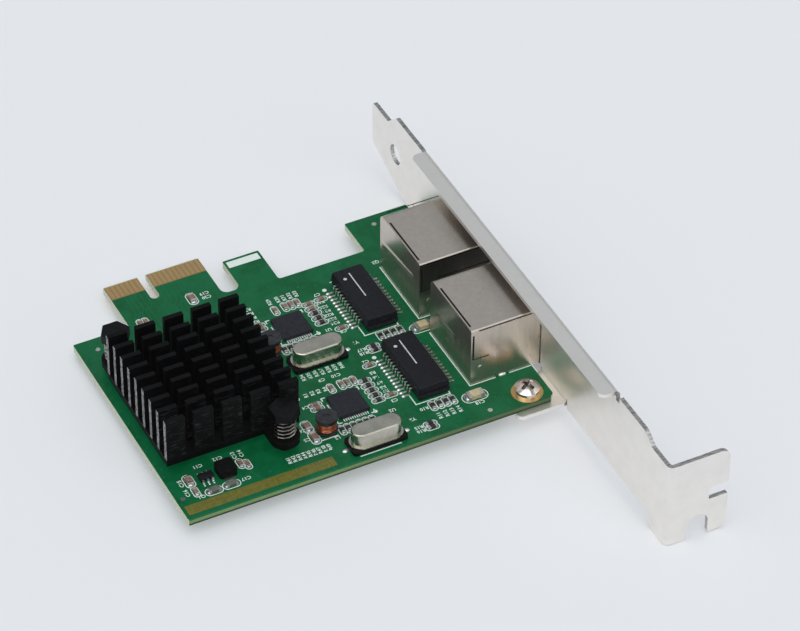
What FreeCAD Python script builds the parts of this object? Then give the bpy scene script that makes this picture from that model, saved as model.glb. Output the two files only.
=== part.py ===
"""Network interface card with two jacks, a pin-fin heat sink and a full-height bracket.

x runs from the far end of the board to the bracket, y toward the contact edge, z out of the component side.
The origin is the middle of the key notch, at the end of the contact tongue and halfway through the board.
"""
import FreeCAD, Part
import math
import os

V = FreeCAD.Vector

# Circuit board
board_thickness = 1.57
board_far_margin = 1.7
board_near_x = 56.3
board_free_margin = 3.0
shoulder_y = -13.0
board_corner = 0.9
wing_x = 42.6
wing_margin = 5.3
hook_far_x = 16.0
hook_near_x = 23.8
hook_y = -3.5
hook_slot_y = -12.2
hook_slot_radius = 1.5

# Contact tongue
tongue_far_x = -8.15
tongue_near_x = 12.15
key_width = 1.9
key_depth = 7.6
tongue_bevel_run = 0.5
tongue_bevel_drop = 0.3
contact_pitch = 1.0
contact_width = 0.7
contact_first = 1.5
contact_end_y = -4.3
contact_thickness = 0.04
contacts_far_side = 7
contacts_near_side = 11

# Jacks
jack_centres_y = (-27.1, -48.56)
carrier_depth = 3.26
jack_width = 16.9
jack_height = 13.6
jack_proud = 0.3
shield_sheet = 0.25
shield_lift = 0.2
shield_far_radius = 1.3
shield_near_radius = 0.35
shield_tail_x = 50.1
shield_tail_width = 1.2
shield_slit = 0.4
shield_notch_height = 6.1
shield_notch_length = 3.6
shield_dimple_radius = 0.45
shield_dimple_proud = 0.15
insert_gap = 0.05
insert_recess = 0.15
plug_width = 11.9
plug_height = 6.8
plug_floor = 3.6
plug_depth = 12.4
latch_width = 6.2
latch_drop = 2.2
latch_depth = 7.0
jack_contact_pitch = 1.02
jack_contact_size = 0.35
jack_contact_rows = (1.86, 0.56)
jack_contact_bay = 1.4
jack_contact_run = 5.8
jack_contact_fall = 3.2
jack_peg_radius = 1.55
jack_peg_x = 53.2
jack_peg_spread = 11.4
tail_length = 1.0
solder_height = 0.7
solder_radius = 0.8
tail_solder_radius = 1.0

# Bracket
bracket_inner_x = 58.15
bracket_sheet = 0.86
bracket_width = 18.42
bracket_drop = 3.0
bracket_length = 120.02
bracket_tip_y = 14.8
bracket_bend = 0.4
tip_width = 9.8
tip_corner = 0.8
tip_rise = 2.4
shoulder_top_y = 4.3
shoulder_top_run = 3.6
shoulder_low_y = 0.8
tab_reach = 12.1
tab_drop = 3.2
tab_drop_y = 5.0
tab_top_drop = 1.9
tab_top_drop_y = 6.5
tab_drop_run = 2.9
tab_corner = 2.2
tab_slot_width = 3.0
tab_slot_height = 10.0
tab_slot_depth = 4.1
screw_notch_width = 4.6
screw_notch_x = 5.84
screw_notch_height = 3.1
tip_hole_diameter = 4.4
tip_hole_inset = 10.3
flange_near_y = -86.0
flange_far_y = -8.3
flange_rise = 0.85
flange_reach = 4.1
flange_corner = 1.5
relief_width = 1.2
relief_depth = 1.3
ear_length = 9.9
ear_reach = 10.9
ear_corner = 1.2
ear_relief = 0.25
window_gap = 0.3

# Screws that hold the ears
screw_x = 52.05
screw_free_gap = 6.39
screw_edge_gap = 9.45
screw_head_radius = 2.5
screw_head_height = 2.0
screw_radius = 1.45
screw_length = 3.8
screw_board_gap = 0.15
screw_ear_gap = 0.05
cross_width = 0.75
cross_depth = 1.1
ring_pad_radius = 3.1
ring_pad_thickness = 0.04

# Heat sink and the chip under it
sink_near_x = 8.9
sink_free_y = -53.3
sink_size = 27.2
sink_base = 1.5
fin_height = 9.5
fin_columns = 5
fin_rows = 9
fin_width = 4.0
fin_thickness = 1.05
switch_size = 14.0
switch_height = 1.0
thermal_pad_size = 12.0
thermal_pad_thickness = 0.5
pin_inset = (4.45, 3.0)
pin_outset = (3.2, 3.1)
pin_ear_radius = 2.9
pin_shaft_radius = 1.35
pin_hole_gap = 0.15
pin_ear_gap = 0.25
pin_head_radius = 3.0
pin_head_height = 1.8
pin_head_corner = 0.25
pin_head_turns = (32, 0)
pin_barb_radius = 1.85
pin_barb_length = 1.5
pin_barb_slot = 0.6
spring_radius = 2.1
spring_wire = 0.18
spring_height = 4.9
spring_turns = 5
spring_sides = 8
spring_steps = 12

# Network chips
network_chip_places = ((19.9, -27.1), (19.9, -51.7))
network_chip_size = 6.2
network_chip_height = 0.85
land_count = 12
land_pitch = 0.4
land_width = 0.2
land_out = 0.35
land_under = 0.3
land_thickness = 0.05

# Magnetics modules
magnetics_x = 35.6
magnetics_ys = (-27.0, -48.8)
magnetics_width = 6.7
magnetics_length = 16.0
magnetics_height = 3.0
magnetics_lift = 0.1
magnetics_draft = 0.2
magnetics_step = 0.2
magnetics_groove = 0.3
magnetics_groove_depth = 0.4
module_leads = 12
module_lead_pitch = 1.0
module_lead_width = 0.42
module_lead_sheet = 0.2
module_lead_shoulder = 0.5
module_lead_foot = 1.5

# Crystals
crystal_places = ((20.3, -37.6), (20.3, -62.8))
crystal_base_length = 11.4
crystal_base_width = 4.8
crystal_base_height = 0.8
crystal_flange_length = 11.0
crystal_flange_width = 4.6
crystal_flange_height = 0.4
crystal_can_length = 10.2
crystal_can_width = 3.8
crystal_can_height = 2.9
crystal_tab_span = 12.4
crystal_tab_width = 0.8
crystal_tab_sheet = 0.2

# Drum inductors
drum_places = ((13.3, -31.4), (13.3, -56.0))
drum_radius = 2.15
drum_core_radius = 1.2
drum_foot = 0.7
drum_cap = 0.8
drum_height = 3.6
winding_turns = 6
winding_inset = 0.2

# Voltage regulator and power inductor
regulator_place = (-12.5, -57.8)
regulator_size = (2.9, 1.6, 1.0)
regulator_lift = 0.1
regulator_lead_pitch = 0.95
regulator_lead_width = 0.4
regulator_lead_sheet = 0.15
choke_place = (-8.5, -57.9)
choke_size = 3.6
choke_height = 1.8
choke_corner = 0.7
choke_terminal = 0.15

# Chip parts: length, width, height
size_small = (1.6, 0.8, 0.5)
size_medium = (2.2, 1.25, 0.7)
size_large = (3.3, 1.75, 1.0)
end_share = 0.2

# Places of chip parts: x, y and the axis that each lies along
small_capacitors = (
    (19.1, -21.3, "y"), (21.3, -21.1, "y"), (22.6, -21.1, "y"), (23.9, -21.1, "y"),
    (25.7, -22.4, "x"), (25.7, -23.9, "x"), (14.3, -23.9, "x"), (14.3, -25.0, "x"),
    (19.1, -46.1, "y"), (21.3, -46.0, "y"), (22.6, -46.0, "y"), (23.9, -46.0, "y"),
    (14.3, -48.9, "x"), (14.3, -50.0, "x"), (28.5, -22.2, "x"), (28.5, -31.5, "x"),
    (28.5, -43.5, "x"), (28.5, -52.7, "x"), (-5.1, -57.1, "y"), (-4.0, -57.8, "y"),
    (-5.8, -13.2, "y"), (-4.7, -13.2, "y"), (-15.7, -60.3, "y"),
)
small_resistors = (
    (25.7, -25.4, "x"), (25.7, -26.9, "x"), (25.7, -28.4, "x"),
    (25.7, -47.0, "x"), (25.7, -48.5, "x"), (25.7, -50.0, "x"), (25.7, -51.5, "x"), (25.7, -53.0, "x"),
    (34.2, -36.9, "y"), (35.6, -36.9, "y"), (37.0, -36.9, "y"), (38.4, -36.9, "y"),
    (34.2, -59.0, "y"), (35.6, -59.0, "y"), (37.0, -59.0, "y"), (38.4, -59.0, "y"),
    (15.9, -32.4, "y"), (17.2, -32.4, "y"), (18.5, -32.4, "y"), (19.8, -32.4, "y"),
    (21.1, -32.4, "y"), (22.4, -32.4, "y"), (15.9, -57.4, "y"), (17.2, -57.4, "y"),
    (18.5, -57.4, "y"), (19.8, -57.4, "y"), (21.1, -57.4, "y"), (22.4, -57.4, "y"),
    (31.5, -63.1, "x"), (31.5, -64.2, "x"), (31.5, -38.9, "x"), (31.5, -40.0, "x"),
)
medium_capacitors = (
    (10.3, -53.7, "y"), (10.3, -57.0, "y"), (-15.7, -57.2, "y"), (-12.5, -61.5, "x"),
    (-8.9, -61.4, "x"), (6.1, -10.9, "y"),
)
large_capacitors = ((42.6, -38.1, "x"), (42.6, -60.1, "x"))

# Worked-out levels and places
top = board_thickness / 2
bottom = -board_thickness / 2
jack_near_x = bracket_inner_x + bracket_sheet + jack_proud
jack_top = top + jack_height
insert_near_x = jack_near_x - insert_recess
cavity_rear_x = insert_near_x - plug_depth
jack_rear_x = cavity_rear_x - carrier_depth - shield_sheet - insert_gap
screw_ys = (jack_centres_y[1] - jack_width / 2 - screw_free_gap,
            jack_centres_y[0] + jack_width / 2 + screw_edge_gap)
board_free_y = screw_ys[0] - board_free_margin
wing_y = screw_ys[1] + wing_margin
sink_far_x = sink_near_x - sink_size
sink_edge_y = sink_free_y + sink_size
board_far_x = sink_far_x - board_far_margin
pin_places = ((sink_near_x - pin_inset[0], sink_free_y - pin_inset[1]),
              (sink_far_x + pin_outset[0], sink_edge_y + pin_outset[1]))
bracket_outer_x = bracket_inner_x + bracket_sheet
strip_low = top - bracket_drop
strip_top = strip_low + bracket_width
tab_outer_y = bracket_tip_y - bracket_length - bracket_sheet
tab_low = strip_low - tab_drop
tab_top = strip_top - tab_top_drop
tab_end_x = bracket_outer_x + tab_reach
sink_low = top + switch_height + thermal_pad_thickness
sink_floor = sink_low + sink_base
sink_centre = (sink_far_x + sink_size / 2, sink_free_y + sink_size / 2)
screw_hole_radius = screw_radius + screw_board_gap
pin_hole_radius = pin_shaft_radius + pin_hole_gap
beyond = 1.0


def box(x0, x1, y0, y1, z0, z1):
    return Part.makeBox(x1 - x0, y1 - y0, z1 - z0, V(x0, y0, z0))


def rod(x, y, z0, z1, radius, end_radius=None):
    if end_radius is None or abs(end_radius - radius) < 1e-6:
        return Part.makeCylinder(radius, z1 - z0, V(x, y, z0))
    return Part.makeCone(radius, end_radius, z1 - z0, V(x, y, z0))


def outline(points):
    """Closed wire through (u, v, corner radius) points; a radius of 0 leaves the corner sharp."""
    corners = []
    count = len(points)
    for i, (u, v, radius) in enumerate(points):
        here = V(u, v, 0)
        back = V(*points[i - 1][:2], 0) - here
        ahead = V(*points[(i + 1) % count][:2], 0) - here
        if radius <= 0:
            corners.append((here, here, None))
            continue
        back = back / back.Length
        ahead = ahead / ahead.Length
        half = back.getAngle(ahead) / 2
        inward = (back + ahead) / (back + ahead).Length
        centre = here + inward * (radius / math.sin(half))
        run = radius / math.tan(half)
        corners.append((here + back * run, here + ahead * run, centre - inward * radius))
    edges = []
    for i, (start, end, middle) in enumerate(corners):
        if middle is not None:
            edges.append(Part.Arc(start, middle, end).toShape())
        following = corners[(i + 1) % count][0]
        if (following - end).Length > 1e-6:
            edges.append(Part.LineSegment(end, following).toShape())
    return Part.Wire(edges)


def prism(points, z0, z1):
    """Outline in x and y, raised from z0 to z1."""
    solid = Part.Face(outline(points)).extrude(V(0, 0, z1 - z0))
    solid.translate(V(0, 0, z0))
    return solid


def prism_along_x(points, x0, x1):
    """Outline in y and z, run from x0 to x1."""
    solid = Part.Face(outline(points)).extrude(V(0, 0, x1 - x0))
    solid.Placement = FreeCAD.Placement(V(x0, 0, 0), FreeCAD.Rotation(V(1, 1, 1), 120))
    return solid


def prism_along_y(points, y0, y1):
    """Outline in x and z, run from y0 to y1."""
    solid = Part.Face(outline(points)).extrude(V(0, 0, y1 - y0))
    solid.Placement = FreeCAD.Placement(V(0, y1, 0), FreeCAD.Rotation(V(1, 0, 0), 90))
    return solid


def ribbon(path, thickness):
    """Outline of a bent strip of even thickness about a centre line of (u, v) points."""
    sides = ([], [])
    last = len(path) - 1
    for i, (u, v) in enumerate(path):
        before = path[max(i - 1, 0)]
        after = path[min(i + 1, last)]
        first = V(u - before[0], v - before[1], 0) if i > 0 else V(after[0] - u, after[1] - v, 0)
        second = V(after[0] - u, after[1] - v, 0) if i < last else first
        first = first / first.Length
        second = second / second.Length
        tangent = (first + second) / (first + second).Length
        reach = thickness / 2 / (tangent * first)
        for side, sign in zip(sides, (1, -1)):
            side.append((u - sign * tangent.y * reach, v + sign * tangent.x * reach, 0))
    return sides[0] + sides[1][::-1]


def cut_all(solid, tools):
    return solid.cut(Part.makeCompound(tools))


def fuse_all(solids):
    return solids[0].multiFuse(solids[1:]).removeSplitter()


def save(name, solids):
    shape = solids[0] if len(solids) == 1 else Part.makeCompound(solids)
    if not shape.isValid():
        print("not valid:", name)
    shape.exportStep("parts/" + name + ".step")


def stadium(x, y, length, width, z0, z1):
    """Upright solid with half-round ends, long along x."""
    radius = width / 2
    straight = length / 2 - radius
    middle = box(x - straight, x + straight, y - radius, y + radius, z0, z1)
    return fuse_all([middle, rod(x - straight, y, z0, z1, radius), rod(x + straight, y, z0, z1, radius)])


def jack_pin_places(centre_y):
    """Where the eight contacts of a jack stand, in two rows."""
    places = []
    for i in range(8):
        y = centre_y + (i - 3.5) * jack_contact_pitch
        places.append((cavity_rear_x - jack_contact_rows[i % 2], y))
    return places


def shield_tail_ys(centre_y):
    reach = (jack_width - shield_sheet) / 2
    return (centre_y - reach, centre_y + reach)


def jack_peg_ys(centre_y):
    return (centre_y - jack_peg_spread / 2, centre_y + jack_peg_spread / 2)


def circuit_board():
    key_round = key_width / 2 * 0.98
    board = prism([
        (board_far_x, board_free_y, 0.3),
        (board_near_x, board_free_y, board_corner),
        (board_near_x, wing_y, 0.3),
        (wing_x, wing_y, 0.3),
        (wing_x, shoulder_y, 0.5),
        (hook_near_x, shoulder_y, 0.6),
        (hook_near_x, hook_y, 0.3),
        (hook_far_x, hook_y, 0.3),
        (hook_far_x, hook_slot_y, hook_slot_radius),
        (tongue_near_x, hook_slot_y, hook_slot_radius),
        (tongue_near_x, 0, 0.4),
        (key_width / 2, 0, 0.2),
        (key_width / 2, -key_depth, key_round),
        (-key_width / 2, -key_depth, key_round),
        (-key_width / 2, 0, 0.2),
        (tongue_far_x, 0, 0.4),
        (tongue_far_x, shoulder_y, 0.4),
        (board_far_x, shoulder_y, 0.3),
    ], bottom, top)
    cuts = []
    for side in (1, -1):
        bevel = [(0.01, side * (top + 0.01), 0), (-tongue_bevel_run, side * (top + 0.01), 0),
                 (-tongue_bevel_run, side * top, 0), (0.01, side * (top - tongue_bevel_drop), 0)]
        cuts.append(prism_along_x(bevel, tongue_far_x - beyond, tongue_near_x + beyond))
    for y in screw_ys:
        cuts.append(rod(screw_x, y, bottom - beyond, top + beyond, screw_hole_radius))
    for x, y in pin_places:
        cuts.append(rod(x, y, bottom - beyond, top + beyond, pin_hole_radius))
    for centre_y in jack_centres_y:
        for x, y in jack_pin_places(centre_y):
            cuts.append(rod(x, y, bottom - beyond, top + beyond, jack_contact_size))
        for y in jack_peg_ys(centre_y):
            cuts.append(rod(jack_peg_x, y, bottom - beyond, top + beyond, jack_peg_radius + 0.1))
        for y in shield_tail_ys(centre_y):
            half = shield_tail_width / 2 + 0.15
            cuts.append(box(shield_tail_x - half, shield_tail_x + half, y - 0.3, y + 0.3,
                            bottom - beyond, top + beyond))
    return cut_all(board, cuts)


def edge_contacts():
    xs = [-(contact_first + i * contact_pitch) for i in range(contacts_far_side)]
    xs += [contact_first + i * contact_pitch for i in range(contacts_near_side)]
    pads = []
    for x in xs:
        for z in (top, bottom - contact_thickness):
            pads.append(box(x - contact_width / 2, x + contact_width / 2, contact_end_y, -tongue_bevel_run,
                            z, z + contact_thickness))
    return pads


def shield_section(centre_y, inset, low):
    """Section of a jack across x; the far top edge has the wide bend."""
    half = jack_width / 2 - inset
    high = jack_top - inset
    return [(centre_y - half, low, 0), (centre_y + half, low, 0),
            (centre_y + half, high, shield_far_radius - inset),
            (centre_y - half, high, max(shield_near_radius - inset, 0.1))]


def jack_shield(centre_y):
    """Open-fronted sheet box with its slits, solder tails and locating dimples."""
    low = top + shield_lift
    shell = prism_along_x(shield_section(centre_y, 0, low), jack_rear_x, jack_near_x)
    hollow = prism_along_x(shield_section(centre_y, shield_sheet, low - beyond),
                           jack_rear_x + shield_sheet, jack_near_x + beyond)
    shell = shell.cut(hollow)
    face = centre_y - jack_width / 2
    far_face = centre_y + jack_width / 2
    seam = jack_rear_x + shield_sheet + 0.05
    depth = shield_sheet + 0.1
    notch = top + shield_notch_height
    slits = [box(seam, seam + shield_slit, face + 1.35, far_face - 3.2, jack_top - depth, jack_top + beyond)]
    for y0, y1 in ((face - beyond, face + depth), (far_face - depth, far_face + beyond)):
        slits.append(box(seam, seam + shield_slit, y0, y1, notch, jack_top - shield_far_radius))
        slits.append(box(seam, seam + shield_notch_length, y0, y1, notch, notch + shield_slit * 0.8))
    shell = cut_all(shell, slits)
    extras = []
    for y in shield_tail_ys(centre_y):
        half = shield_tail_width / 2
        extras.append(box(shield_tail_x - half, shield_tail_x + half, y - shield_sheet / 2,
                          y + shield_sheet / 2, bottom - tail_length, low + shield_sheet))
    dimple_z = top + shield_notch_height * 0.65
    for y, axis in ((face, V(0, -1, 0)), (far_face, V(0, 1, 0))):
        extras.append(Part.makeCone(shield_dimple_radius, shield_dimple_radius * 0.6, shield_dimple_proud,
                                    V(jack_rear_x + 2.0, y, dimple_z), axis))
    return fuse_all([shell] + extras)


def contact_path(row_x):
    """Centre line of one sprung contact in x and z, from its solder leg to its free end."""
    roof = top + plug_floor + plug_height + jack_contact_bay * 0.65
    bend_x = jack_near_x - 2.6
    return [(row_x, bottom - tail_length), (row_x, roof), (bend_x, roof),
            (bend_x - jack_contact_run, roof - jack_contact_fall)]


def jack_insert(centre_y):
    """Housing with the plug cavity, the latch slot and the bay where the contacts spring."""
    gap = shield_sheet + insert_gap
    block = prism_along_x(shield_section(centre_y, gap, top), cavity_rear_x, insert_near_x)
    cavity_low = top + plug_floor
    cavity_top = cavity_low + plug_height
    bay_top = cavity_top + jack_contact_bay
    bay_half = 4 * jack_contact_pitch + 0.2
    block = cut_all(block, [
        box(cavity_rear_x - beyond, insert_near_x + beyond, centre_y - plug_width / 2, centre_y + plug_width / 2,
            cavity_low, cavity_top),
        box(insert_near_x - latch_depth, insert_near_x + beyond, centre_y - latch_width / 2,
            centre_y + latch_width / 2, cavity_low - latch_drop, cavity_low + 0.1),
        box(cavity_rear_x - beyond, insert_near_x - 1.4, centre_y - bay_half, centre_y + bay_half,
            cavity_top - 0.1, bay_top),
    ])
    pegs = [rod(jack_peg_x, y, bottom - tail_length * 0.9, top, jack_peg_radius - 0.3, jack_peg_radius)
            for y in jack_peg_ys(centre_y)]
    return fuse_all([block] + pegs)


def contact_carrier(centre_y):
    """Rear block of a jack, with a slot for each row of contact legs and a groove for the wires."""
    gap = shield_sheet + insert_gap
    block = prism_along_x(shield_section(centre_y, gap, top), jack_rear_x + gap, cavity_rear_x)
    half = (jack_contact_size + 0.1) / 2
    row_half = 3.5 * jack_contact_pitch + half
    roof = contact_path(0)[1][1]
    back = cavity_rear_x - max(jack_contact_rows) - half
    slots = [box(back, cavity_rear_x + beyond, centre_y - row_half, centre_y + row_half, roof - half, roof + half)]
    for row in jack_contact_rows:
        x = cavity_rear_x - row
        slots.append(box(x - half, x + half, centre_y - row_half, centre_y + row_half, top - beyond, roof))
    return cut_all(block, slots)


def jack_contacts(centre_y):
    half = jack_contact_size / 2
    return [prism_along_y(ribbon(contact_path(x), jack_contact_size), y - half, y + half)
            for x, y in jack_pin_places(centre_y)]


def solder_joints():
    """Cones of solder around the legs and tails that come through the board."""
    joints = []
    for centre_y in jack_centres_y:
        for x, y in jack_pin_places(centre_y):
            half = jack_contact_size / 2
            cone = rod(x, y, bottom - solder_height, bottom, jack_contact_size, solder_radius)
            joints.append(cone.cut(box(x - half, x + half, y - half, y + half, bottom - beyond, bottom + beyond)))
        for y in shield_tail_ys(centre_y):
            half = shield_tail_width / 2
            cone = rod(shield_tail_x, y, bottom - solder_height, bottom, half, tail_solder_radius)
            tail = box(shield_tail_x - half, shield_tail_x + half, y - shield_sheet / 2, y + shield_sheet / 2,
                       bottom - tail_length - beyond, bottom + beyond)
            joints.append(cone.cut(tail))
    return joints


def ear_range(y):
    """An ear lies about its screw; its free end stands a little past the board's free edge."""
    return (y - ear_length * 0.45, y + ear_length * 0.55)


def bracket():
    inner, outer, sheet = bracket_inner_x, bracket_outer_x, bracket_sheet
    tip_low = top + tip_rise
    tip_top = tip_low + tip_width
    fold_y = tab_outer_y + sheet + bracket_bend + 0.4
    low_y = tab_outer_y + tab_drop_y
    high_y = tab_outer_y + tab_top_drop_y
    strip = prism_along_x([
        (fold_y, tab_low, 0), (low_y, tab_low, 1.0), (low_y + tab_drop_run, strip_low, 1.0),
        (shoulder_low_y, strip_low, 2.0), (bracket_tip_y, tip_low, tip_corner),
        (bracket_tip_y, tip_top, tip_corner), (shoulder_top_y + shoulder_top_run, tip_top, 0.4),
        (shoulder_top_y, strip_top, 0.6), (high_y + tab_drop_run, strip_top, 0.8),
        (high_y, tab_top, 0.8), (fold_y, tab_top, 0),
    ], inner, outer)
    relief_z = strip_top - relief_depth
    ear_top = bottom + bracket_bend + 0.5
    cuts = [box(inner - beyond, outer + beyond, flange_near_y - relief_width, flange_far_y + relief_width,
                relief_z, strip_top + beyond)]
    for y in screw_ys:
        y0, y1 = ear_range(y)
        cuts.append(box(inner - beyond, outer + beyond, y0 - ear_relief, y1 + ear_relief,
                        strip_low - beyond, ear_top))
    for centre_y in jack_centres_y:
        half = jack_width / 2 + window_gap
        cuts.append(box(inner - beyond, outer + beyond, centre_y - half, centre_y + half,
                        top - window_gap, jack_top + window_gap))
    cuts.append(Part.makeCylinder(tip_hole_diameter / 2, sheet + 2 * beyond,
                                  V(inner - beyond, bracket_tip_y - tip_hole_inset, tip_low + tip_width * 0.37),
                                  V(1, 0, 0)))
    strip = cut_all(strip, cuts)
    pieces = [strip, bracket_flange(relief_z), bracket_tab(fold_y)]
    pieces += [bracket_ear(y, ear_top) for y in screw_ys]
    return fuse_all(pieces)


def bracket_flange(low):
    """Lip folded inward over the jacks along the edge of the strip."""
    high = strip_top + flange_rise
    free_x = bracket_outer_x - flange_reach
    outer_bend = bracket_bend + bracket_sheet
    lip = prism_along_y([
        (free_x, high - bracket_sheet, 0), (bracket_inner_x, high - bracket_sheet, bracket_bend),
        (bracket_inner_x, low, 0), (bracket_outer_x, low, 0),
        (bracket_outer_x, high, outer_bend), (free_x, high, 0),
    ], flange_near_y, flange_far_y)
    plan = prism([
        (free_x, flange_near_y, flange_corner), (bracket_outer_x + beyond, flange_near_y, 0),
        (bracket_outer_x + beyond, flange_far_y, 0), (free_x, flange_far_y, flange_corner),
    ], low - beyond, high + beyond)
    return lip.common(plan)


def bracket_tab(fold_y):
    """Screw tab folded outward at the free end, with its open screw notch and its side slot."""
    outer_bend = bracket_bend + bracket_sheet
    tab = prism([
        (bracket_inner_x, fold_y, 0), (bracket_inner_x, tab_outer_y, outer_bend),
        (tab_end_x, tab_outer_y, 0), (tab_end_x, tab_outer_y + bracket_sheet, 0),
        (bracket_outer_x, tab_outer_y + bracket_sheet, bracket_bend), (bracket_outer_x, fold_y, 0),
    ], tab_low, tab_top)
    notch_x = bracket_outer_x + screw_notch_x
    notch_half = screw_notch_width / 2
    slot_low = tab_low + tab_slot_height - tab_slot_width / 2
    face = prism_along_y([
        (bracket_inner_x - beyond, tab_low, 0), (notch_x - notch_half, tab_low, 0.5),
        (notch_x - notch_half, tab_low + screw_notch_height + notch_half, notch_half * 0.99),
        (notch_x + notch_half, tab_low + screw_notch_height + notch_half, notch_half * 0.99),
        (notch_x + notch_half, tab_low, 0.5), (tab_end_x, tab_low, tab_corner),
        (tab_end_x, slot_low, 0.3), (tab_end_x - tab_slot_depth, slot_low, 0.4),
        (tab_end_x - tab_slot_depth, slot_low + tab_slot_width, 0.4),
        (tab_end_x, slot_low + tab_slot_width, 0.3), (tab_end_x, tab_top, tab_corner),
        (bracket_inner_x - beyond, tab_top, 0),
    ], tab_outer_y - beyond, fold_y + beyond)
    return tab.common(face)


def bracket_ear(screw_y, high):
    """Ear folded inward under the board, with the hole that takes its screw."""
    y0, y1 = ear_range(screw_y)
    free_x = bracket_outer_x - ear_reach
    outer_bend = bracket_bend + bracket_sheet
    ear = prism_along_y([
        (free_x, bottom - bracket_sheet, 0), (bracket_outer_x, bottom - bracket_sheet, outer_bend),
        (bracket_outer_x, high, 0), (bracket_inner_x, high, 0),
        (bracket_inner_x, bottom, bracket_bend), (free_x, bottom, 0),
    ], y0, y1)
    plan = prism([
        (free_x, y0, ear_corner), (bracket_outer_x + beyond, y0, 0),
        (bracket_outer_x + beyond, y1, 0), (free_x, y1, ear_corner),
    ], bottom - 2 * beyond, high + beyond)
    hole = rod(screw_x, screw_y, bottom - 2 * beyond, bottom + beyond, screw_radius + screw_ear_gap)
    return ear.common(plan).cut(hole)


def ring_pads():
    high = top + ring_pad_thickness
    return [rod(screw_x, y, top, high, ring_pad_radius).cut(
        rod(screw_x, y, top - beyond, high + beyond, screw_hole_radius + 0.1)) for y in screw_ys]


def bracket_screw(y):
    """Pan-head screw with a cross recess; it goes down through the board into the ear."""
    seat = top + ring_pad_thickness
    crown = seat + screw_head_height
    radius = screw_head_radius
    dome = radius * 1.7
    head = rod(screw_x, y, seat, crown, radius)
    head = head.common(Part.makeSphere(dome, V(screw_x, y, crown - dome)))
    arm = radius * 0.72
    half = cross_width / 2
    low = crown - cross_depth
    cross = [box(screw_x - arm, screw_x + arm, y - half, y + half, low, crown + beyond),
             box(screw_x - half, screw_x + half, y - arm, y + arm, low, crown + beyond)]
    taper = rod(screw_x, y, low, crown + 0.01, arm * 0.45, arm)
    head = head.cut(cross[0].fuse(cross[1]).common(taper))
    shaft = rod(screw_x, y, seat - screw_length + 0.4, seat, screw_radius)
    point = rod(screw_x, y, seat - screw_length, seat - screw_length + 0.4, screw_radius * 0.75, screw_radius)
    screw = fuse_all([head, shaft, point])
    screw.rotate(V(screw_x, y, 0), V(0, 0, 1), 24)
    return screw


def heat_sink_base():
    """Base plate with an ear for each push pin."""
    ears = []
    for x, y in pin_places:
        side = -1 if y < sink_centre[1] else 1
        inner_y = (sink_free_y if side < 0 else sink_edge_y) - side * 1.0
        ears.append(rod(x, y, sink_low, sink_floor, pin_ear_radius))
        ears.append(box(x - pin_ear_radius, x + pin_ear_radius, min(y, inner_y), max(y, inner_y),
                        sink_low, sink_floor))
    plate = box(sink_far_x, sink_near_x, sink_free_y, sink_edge_y, sink_low, sink_floor)
    return cut_all(fuse_all([plate] + ears),
                   [rod(x, y, sink_low - beyond, sink_floor + beyond, pin_shaft_radius + pin_ear_gap)
                    for x, y in pin_places])


def heat_sink_fins():
    """Rows and columns of thin fins that stand on the base plate."""
    column_step = (sink_size - fin_width) / (fin_columns - 1)
    row_step = (sink_size - fin_thickness) / (fin_rows - 1)
    fins = []
    for column in range(fin_columns):
        for row in range(fin_rows):
            x = sink_far_x + column * column_step
            y = sink_free_y + row * row_step
            if not any(fin_meets_pin(x, y, place) for place in pin_places):
                fins.append(box(x, x + fin_width, y, y + fin_thickness, sink_floor, sink_floor + fin_height))
    return fins


def fin_meets_pin(x, y, place):
    """Whether a fin would stand in the way of a push pin's head or spring."""
    near_x = min(max(place[0], x), x + fin_width)
    near_y = min(max(place[1], y), y + fin_thickness)
    return math.hypot(near_x - place[0], near_y - place[1]) < 0.5


def push_pin(x, y, turn):
    """Split plastic pin with a six-sided head; its barb holds under the board."""
    head_low = sink_floor + spring_height
    angles = [math.radians(turn + 60 * i) for i in range(6)]
    sides = [(x + pin_head_radius * math.cos(a), y + pin_head_radius * math.sin(a), pin_head_corner)
             for a in angles]
    head = prism(sides, head_low, head_low + pin_head_height)
    shaft = rod(x, y, bottom - 0.05, head_low, pin_shaft_radius)
    barb_top = bottom - 0.05
    barb = rod(x, y, barb_top - pin_barb_length, barb_top, pin_shaft_radius * 0.6, pin_barb_radius)
    slot = box(x - pin_barb_slot / 2, x + pin_barb_slot / 2, y - 3, y + 3,
               barb_top - pin_barb_length - beyond, top)
    return fuse_all([head, shaft, barb]).cut(slot)


def pin_spring(x, y):
    """Coil between the ear of the heat sink and the head of the pin, in short straight lengths of wire."""
    lift = spring_wire + 0.02
    rise = spring_height - 2 * lift
    rings = []
    for i in range(spring_turns * spring_steps + 1):
        angle = 2 * math.pi * i / spring_steps
        outward = V(math.cos(angle), math.sin(angle), 0)
        along = V(-math.sin(angle), math.cos(angle), rise / spring_turns / (2 * math.pi * spring_radius))
        across = (along / along.Length).cross(outward)
        centre = V(x, y, sink_floor + lift + rise * i / spring_turns / spring_steps) + outward * spring_radius
        turns = [2 * math.pi * j / spring_sides for j in range(spring_sides)]
        ring = [centre + (outward * math.cos(t) + across * math.sin(t)) * spring_wire for t in turns]
        rings.append(Part.makePolygon(ring + ring[:1]))
    return Part.makeLoft(rings, True, True)


def network_chip(x, y):
    half = network_chip_size / 2
    low = top + land_thickness
    body = prism([(x - half, y - half, 0), (x + half, y - half, 0), (x + half, y + half, 0),
                  (x - half, y + half, 0)], low, low + network_chip_height)
    dot = rod(x - half + 0.9, y - half + 0.9, low + network_chip_height - 0.05,
              low + network_chip_height + beyond, 0.35)
    return body.cut(dot)


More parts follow.
